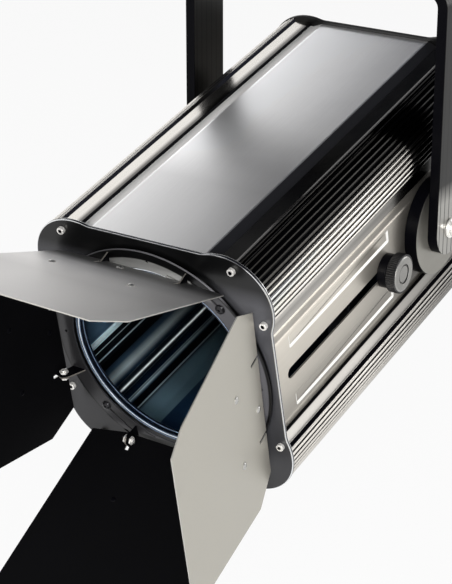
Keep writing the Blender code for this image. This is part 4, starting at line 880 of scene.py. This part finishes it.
def lens():
    """Seal with two lips and fine teeth, and the pane of glass in it."""
    profile = [(0.1095, 0.0018), (0.1123, 0.0018), (0.1127, 0.0013), (0.1136, 0.0013), (0.1140, 0.0018),
               (0.1152, 0.0018), (0.1156, 0.0013), (0.1164, 0.0013), (0.1168, 0.0016), (0.1168, 0.0003),
               (0.1147, 0.0003), (0.1147, -0.0043), (0.1168, -0.0043), (0.1168, -0.0068), (0.1095, -0.0068),
               (0.1095, -0.0053), (0.1123, -0.0053), (0.1123, 0.0003), (0.1095, 0.0003)]
    seal = turned(profile, 144, closed=True)
    teeth = []
    for k in range(240):
        turn = Matrix.Rotation(math.tau * k / 240, 4, "Z")
        tooth = [(0.1130, -0.0004), (0.1134, -0.0004), (0.1134, 0.0004), (0.1130, 0.0004)]
        teeth.append((sheet([tooth], 0.0012, 0.0001), LAMP @ FRONT @ turn @ moved(z=0.0013)))
    piece("ribbed_seal", [(seal, LAMP @ FRONT)] + teeth, "housing", [SEAL_WITH_PAINTED_HIGHLIGHTS], ["lens_gasket"])
    pane = soften([(0, 0), (0.1120, 0), (0.1120, -0.005), (0, -0.005)], 0.0008, 4, False)
    piece("glass_pane", [(turned(pane, 128), LAMP @ FRONT)], "housing", [GLASS], ["front_glass"])


# Barndoor

def slot_outline(start, span):
    """Narrow curved slot, round where the screw sits, wider on its outer side near the far end."""
    middle, round_end, narrow, step = SLOT_RADIUS, 0.0027, 0.0016, 0.0014
    end = start + span
    wider = end - math.radians(4.5)
    loop = arc(0, 0, middle + narrow, start + 0.017, wider - 0.010, 10)
    loop += arc(0, 0, middle + narrow + step, wider, end, 3)
    centre = middle + step / 2
    loop += arc(centre * math.cos(end), centre * math.sin(end), narrow + step / 2, end, end + PI, 6)[1:-1]
    loop += arc(0, 0, middle - narrow, end, start + 0.017, 13)
    return loop + arc(middle * math.cos(start), middle * math.sin(start), round_end, start + 1.25 * PI,
                      start + 2.75 * PI, 10)


HINGES = (("top", 0, 0.117), ("right", 90, 0.127), ("bottom", 180, 0.117), ("left", 270, 0.127))
HINGE_Y = -0.024


def hinge_at(angle, reach):
    """A leaf's hinge axis, at its angle round the ring and its distance from the beam axis."""
    return RING @ Matrix.Rotation(math.radians(angle), 4, "Y") @ moved(0, HINGE_Y, reach)


def barndoor_ring():
    """Flat ring with curved slots, small holes and stamped slots, and two ears for each leaf."""
    outer, inner, thick, plane, ear_x, eye = 0.140, 0.1175, 0.002, -0.0052, 0.050, 0.0065
    loops = [circle(0, 0, outer, 120), circle(0, 0, inner, 120)]
    for i in range(4):
        loops.append(slot_outline(math.radians(45 + 90 * i) + SPIN, math.radians(18)))
        turn = math.radians(90 * i)
        loops.append(circle(SLOT_RADIUS * math.cos(turn), SLOT_RADIUS * math.sin(turn), 0.0018, 14))
        near = math.radians(72 + 90 * i)
        loops.append(arc(0, 0, 0.1212, near, near + 0.11, 6) + arc(0, 0, 0.1199, near + 0.11, near, 6))
    parts = [(sheet(loops, thick, 0.0005), RING @ moved(y=plane) @ FRONT)]
    for _, angle, reach in HINGES:
        tip = arc(HINGE_Y, reach, eye, math.radians(80), math.radians(250), 14)
        turn = RING @ Matrix.Rotation(math.radians(angle), 4, "Y")
        for sx in (1, -1):
            ear = sheet([[(plane, 0.110), (plane, 0.128)] + tip], thick, 0.0004)
            parts.append((ear, turn @ moved(sx * ear_x) @ SIDE))

    # The ears' flat faces get painted shade in black; most of their edges get a painted highlight.
    def ring_or_ear(point, normal):
        local, facing = seen_from(RING, point, normal)
        if local.y > -0.0068:
            return 0
        return 1 if max(abs(facing.x), abs(facing.z)) > 0.9 and abs(facing.y) < 0.2 else 2

    piece("turning_ring", parts, "ring", [RING_PAINTED_LIGHT, BLACK_PAINT_AND_SHADE, EAR_EDGE_HIGHLIGHT], ["barndoor_ring"],
          ring_or_ear)


def leaf(place, angle, reach, half, along, opening, rivets):
    """Rim-rounded sheet, black inside and pale outside, the pale being painted reflected light, with bent
    lugs and rivets.
    """
    right = [(w, -s) for w, s in zip(half, along)]
    right = [right[0]] + soften(right[1:], 0.003, 4, False)
    left = flip(right, -1, 1)[::-1]
    notch = [(0.0487, 0.010), (0.0487, -0.010), (0.0525, -0.010), (0.0525, 0.010)]
    outline = right + left + flip(notch, -1, 1)[::-1] + notch
    at = hinge_at(angle, reach) @ Matrix.Rotation(-opening, 4, "X")
    thick, plane = 0.0015, 0.00775
    parts = [(sheet([outline], thick, 0.0004), at @ moved(z=plane))]
    lug = arc(0, 0, 0.0065, PI, math.tau, 14) + [(0.0065, 0.0076), (-0.0065, 0.0076)]
    for sx in (1, -1):
        parts.append((sheet([lug], thick, 0.0003), at @ moved(sx * 0.04795) @ SIDE))
    for x, s in rivets:
        parts.append((dome(x, -s, 0.0084, 0.0044, 0.0022), at))
        rim = [(0.0030, 0.0001), (0.0052, 0.0001), (0.0052, -0.0002), (0.0030, -0.0002)]
        parts.append((turned(rim, 24, True), at @ moved(x, -s, plane + thick / 2)))
        parts.append((dome(x, -s, -0.0070, 0.0032, 0.0009), at @ Matrix.Diagonal((1, 1, -1, 1))))

    def side_of(point, normal):
        local, facing = seen_from(at, point, normal)
        from_rivet = min(math.hypot(local.x - x, local.y + s) for x, s in rivets)
        if not 0.0068 < local.z < 0.0088:
            if from_rivet > 0.0053:
                return 1
            return 2 if local.z > 0.0079 and from_rivet < 0.00445 else 3
        # Rim faces of the leaf get a painted highlight.
        if abs(facing.z) < 0.5 and local.z > 0.007:
            return 4
        return 1 if facing.z < -0.5 else 0

    # Lit copies of one leaf paint: grey painted light on the top leaf, beige painted light on the others.
    outside = LEAF_TOP_PAINTED_LIGHT if place == "top" else LEAF_OUT_PAINTED_LIGHT
    piece("door_" + place, parts, "leaf_" + place, [outside, LEAF_IN, RIVET, BLACK_PAINT_AND_SHADE, LEAF_EDGE_HIGHLIGHT],
          ["leaf_" + place], side_of)


def hinge_bolts():
    """A threaded bolt with two nuts and a washer at each hinge ear."""
    for place, angle, reach in HINGES:
        for label, sx in (("a", 1), ("b", -1)):
            at = hinge_at(angle, reach) @ SIDE
            nut = circle(0, 0, 0.0052, 6)
            parts = []
            for middle in (0.0513 + 0.0016, 0.0469 - 0.0019):
                parts.append((sheet([nut], 0.0024, 0.0004), at @ moved(z=sx * middle)))
            washer = turned([(0.003, 0), (0.0055, 0), (0.0055, 0.0005), (0.003, 0.0005)], 28, True)
            parts.append((washer, at @ moved(z=sx * 0.0515)))
            thread = [(0, 0.0540)]
            for k in range(15):
                thread += [(0.0030, 0.0540 - 0.0008 * k), (0.0027, 0.0536 - 0.0008 * k)]
            thread.append((0, 0.0424))
            parts.append((turned(flip(thread, 1, sx), 20), at))
            name = "hinge_bolt_%s_%s" % (place, label)
            piece("pivot_" + name, parts, "ring", [ZINC], [name])


def barndoor():
    """Ring, bolts, and leaves of two widths: top and bottom, left and right."""
    barndoor_ring()
    hinge_bolts()
    for place, angle, reach in HINGES:
        if angle % 180 == 0:
            leaf(place, angle, reach, (0.060, 0.104, 0.130, 0.112), (-0.010, -0.002, 0.210, 0.247),
                 math.radians(28), ((-0.068, 0.0623), (-0.0217, 0.0045), (0.0369, 0.0695)))
        else:
            leaf(place, angle, reach, (0.106, 0.128, 0.110, 0.095), (-0.010, 0.028, 0.185, 0.215),
                 math.radians(11.4), ((-0.0434, 0.0566), (0.0088, 0.0045), (0.0434, 0.0566)))


# Focus knob and tilt pivot

def focus_knob():
    """Toothed knob with a raised crown, on a black neck that runs through the slot."""
    slide_y, teeth = 0.239, 52
    at = LAMP @ moved(y=slide_y) @ SIDE
    neck = soften([(0, 0.1570), (0.0175, 0.1570), (0.020, 0.1552), (0.020, 0.1453), (0, 0.1453)], 0.0008, 3,
                  False)
    parts = [(turned(neck, 64), at)]
    for radius, top, bottom in ((0.004, 0.165, 0.132), (0.007, 0.0964, 0.0924), (0.004, 0.133, 0.0962)):
        parts.append((cylinder(radius, top, bottom), at))
    piece("slider_neck", parts, "focus_carriage", [BLACK], ["focus_stud"])
    loop = round_loop(teeth * 6, lambda turn: 0.0230 - 0.0009 * max(0.0, math.cos(teeth * turn)) ** 1.5)
    skirt = sheet([loop, circle(0, 0, 0.0205, 64)], 0.0112, 0.0007)
    crown = soften([(0, 0.1690), (0.0098, 0.1690), (0.0101, 0.1678), (0.0113, 0.1678), (0.0117, 0.1699),
                    (0.0193, 0.1699), (0.0207, 0.1689), (0.0207, 0.1575), (0, 0.1575)], 0.0004, 3, False)
    parts = [(skirt, at @ moved(z=0.1632)), (turned(crown, 96), at)]

    # Painted shade in black at the bottom of the crown's recess ring, and a painted highlight on its outer
    # slope and on the rim.
    def face_or_skirt(point, normal):
        local, facing = seen_from(at, point, normal)
        out = math.hypot(local.x, local.y)
        if 0.0096 < out < 0.0112 or out > 0.0208 or facing.z < 0.3:
            return 0
        return 2 if out > 0.0192 or 0.0112 < out < 0.0119 else 1

    piece("knurled_focus_knob", parts, "focus_knob", [KNOB_SKIRT, KNOB_FACE, KNOB_EDGE_HIGHLIGHT],
          ["focus_knob"], face_or_skirt)


def tilt_pivot():
    """Drums on both sides, the bolt with its cap on the right, the lobed knob on the left."""
    at = LAMP @ moved(y=PIVOT_Y) @ SIDE

    # The drum's flat faces get painted light, its round wall painted shade in black.
    def lit_face_shaded_wall(point, normal):
        return 0 if abs(normal.x) > 0.8 else 1

    drum = [(PIVOT_BORE, 0.161), (0.0587, 0.161), (0.0587, 0.1453), (PIVOT_BORE, 0.1453)]
    piece("drum_right", [(turned(soften(drum, 0.0010, 4), 128, True), at)], "housing",
          [BOSS_FACE_PAINTED_LIGHT, BLACK_PAINT_AND_SHADE], ["tilt_boss_right"], lit_face_shaded_wall)
    left = soften([(0, 0.1898), (0.008, 0.1898), (0.008, 0.161), (0.0587, 0.161), (0.0587, 0.1453),
                   (0.008, 0.1453), (0.008, 0.1427), (0.014, 0.1427), (0.014, 0.136), (0, 0.136)],
                  0.0010, 3, False)
    piece("drum_left", [(turned(flip(left, 1, -1), 128), at)], "housing", [BOSS_FACE_PAINTED_LIGHT, BLACK_PAINT_AND_SHADE],
          ["tilt_boss_left"], lit_face_shaded_wall)
    bolt = soften([(0, 0.1826), (0.0062, 0.1826), (0.009, 0.1812), (0.009, 0.1765), (0.012, 0.1765),
                   (0.012, 0.1741), (0.008, 0.1741), (0.008, 0.1427), (0.014, 0.1427), (0.014, 0.136),
                   (0, 0.136)], 0.0006, 3, False)
    piece("pivot_bolt_cap", [(turned(bolt, 48), at)], "housing", [ZINC], ["tilt_bolt"])
    lobes = round_loop(144, lambda turn: 0.0285 + 0.0015 * math.cos(6 * turn))
    hand = sheet([lobes], 0.0252, 0.0022)
    cap = turned(soften([(0, 0.0004), (0.012, 0.0004), (0.012, -0.0002), (0, -0.0002)], 0.0002, 2, False), 48)
    parts = [(hand, at @ moved(z=-0.1867)), (cap, at @ moved(z=-0.1994))]
    piece("lobed_tilt_knob", parts, "tilt_knob", [BLACK], ["tilt_knob"])


def yoke():
    """One bent bar with round ends, bored for the pivots and for the clamp."""
    inner, outer, corner, half, through = 0.1613, 0.1738, 0.025, 0.032, 0.5
    end, bend = -RISE - half, corner / 2
    right = arc(outer - corner, -corner, corner, PI / 2, 0, 14) + [(outer, end)]
    right += [(inner, end)] + arc(inner - bend, -corner, bend, 0, PI / 2, 10)
    loop = right + flip(right, -1, 1)[::-1]
    bar = sheet([loop], 2 * half, 0.0009)
    body = piece("yoke_bar_shape", [(bar, FRONT)], "yoke", [YOKE_BAR_PAINTED_LIGHT, BLACK_PAINT_AND_SHADE], ["yoke"])
    slab = arc(0, -RISE, half, PI, math.tau, 40) + [(half, 0.01), (-half, 0.01)]
    cutters = [("INTERSECT", sheet([slab], through, 0.0001), SIDE),
               ("DIFFERENCE", sheet([circle(0, -RISE, PIVOT_BORE, 40)], through, 0.0001), SIDE)]
    for clamp_x in (0.045, -0.045):
        cutters.append(("DIFFERENCE", sheet([circle(clamp_x, 0, 0.0065, 40)], 0.05, 0.0001), FLAT))
    # The bar's narrow faces get painted shade in black.
    carve(body, cutters, [YOKE_BAR_PAINTED_LIGHT, BLACK_PAINT_AND_SHADE], lambda point, normal: 1 if abs(normal.y) > 0.6 else 0)


def carried_over_nodes():
    """Inner pieces keep their solids and get their own finishes."""
    looks = {"guide_rod_right": ROD_WITH_PAINTED_HIGHLIGHT, "guide_rod_left": ROD_WITH_PAINTED_HIGHLIGHT, "rear_bulkhead": PAINTED_LIGHT_LINER,
             "lamp_carriage": SHEET_STEEL, "lampholder": CERAMIC, "discharge_lamp": BULB, "reflector": MIRROR,
             "ballast": CAN, "fan_frame": BLACK, "fan_rotor": BLACK, "power_inlet": BLACK}
    for name, look in looks.items():
        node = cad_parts[name]
        node.data.materials.clear()
        node.data.materials.append(look)


# Studio

FLOOR_SIZE, FLOOR_LEVEL, WHITE_SHARE = 14, -0.95, 0.92


def seen_directly(tree, share):
    """The share for camera, mirror and glass rays, 0 for all others."""
    path = add_node(tree, "LightPath", {}).outputs
    seen = maths(tree, "MAXIMUM", path["Is Camera Ray"], path["Is Glossy Ray"])
    return maths(tree, "MULTIPLY", maths(tree, "MAXIMUM", seen, path["Is Transmission Ray"]), share)


def pale_floor():
    """White floor that the camera and reflections see as white, with the object's soft shadow kept."""
    bpy.ops.mesh.primitive_plane_add(size=FLOOR_SIZE, location=(0, 0, FLOOR_LEVEL))
    floor = bpy.context.active_object
    floor.name = "floor"
    pale = bpy.data.materials.new("pale_floor")
    pale.use_nodes = True
    tree, shader = pale.node_tree, principled(pale)
    shader.inputs["Roughness"].default_value = 0.9
    speckle = add_node(tree, "TexNoise", {"Scale": 30})
    tone = mixed(tree, speckle.outputs["Fac"], (0.84, 0.835, 0.825, 1), (0.88, 0.875, 0.865, 1))
    set_base(pale, tone)
    white = add_node(tree, "Emission", {})
    both = add_node(tree, "MixShader", {
        "Fac": seen_directly(tree, WHITE_SHARE), 1: shader.outputs[0], 2: white.outputs[0]})
    tree.links.new(both.outputs[0], tree.nodes["Material Output"].inputs["Surface"])
    floor.data.materials.append(pale)


def soft_world():
    """Light from below and level, dark above."""
    world = bpy.data.worlds.new("studio")
    bpy.context.scene.world = world
    world.use_nodes = True
    tree = world.node_tree
    tree.nodes.clear()
    place = add_node(tree, "TexCoord", {}).outputs["Generated"]
    height = add_node(tree, "SeparateXYZ", {0: place}).outputs["Z"]
    ramp = add_node(tree, "ValToRGB", {"Fac": height})
    stops = ramp.color_ramp.elements
    stops[0].position, stops[0].color = 0.27, (1, 0.985, 0.96, 1)
    stops[1].position, stops[1].color = 0.64, (0.02, 0.022, 0.032, 1)
    stops.new(0.50).color = (0.20, 0.21, 0.24, 1)
    soft = add_node(tree, "Background", {"Color": ramp.outputs["Color"]})
    add_node(tree, "OutputWorld", {"Surface": soft.outputs[0]})


def area_light(name, place, aim, size, power):
    """Soft box at a place, turned to what it lights."""
    light = bpy.data.lights.new(name, "AREA")
    light.shape = "RECTANGLE"
    light.size, light.size_y = size
    light.energy = power
    lamp = add_object(name, light)
    lamp.location = place
    lamp.rotation_mode = "QUATERNION"
    lamp.rotation_quaternion = (Vector(aim) - Vector(place)).to_track_quat("-Z", "Y")


def camera():
    eye = bpy.data.cameras.new("camera")
    eye.lens, eye.sensor_width = 117.9, 36
    holder = add_object("camera", eye)
    holder.location = (1.0860, -1.8892, 0.5097)
    holder.rotation_mode = "QUATERNION"
    holder.rotation_quaternion = Vector((-0.5004, 0.7731, -0.3899)).to_track_quat("-Z", "Y")
    bpy.context.scene.camera = holder


for build in (housing, side_sheets, plates, screws, lens, barndoor, focus_knob, tilt_pivot, yoke,
              carried_over_nodes, pale_floor, soft_world):
    build()
area_light("rear_left_soft", (-1.48, 0.95, 0.95), (-1.48, 0.95, 0), (1.2, 1.6), 8)
area_light("camera_side_soft", (2.0, -2.3, 1.7), (0, -0.3, -0.35), (1.3, 1.3), 26)
area_light("rear_right_low", (1.95, 2.55, 0.38), (0, 0, -0.3), (1.4, 0.9), 15)
area_light("front_left_soft", (-1.3, -2.6, 1.0), (0, -0.4, -0.35), (1.2, 1.2), 12)
area_light("aperture_soft", (1.3, -2.8, 0.4), (0, -0.4, -0.35), (1.0, 1.0), 60)
camera()
bpy.context.scene.view_settings.view_transform = "Standard"
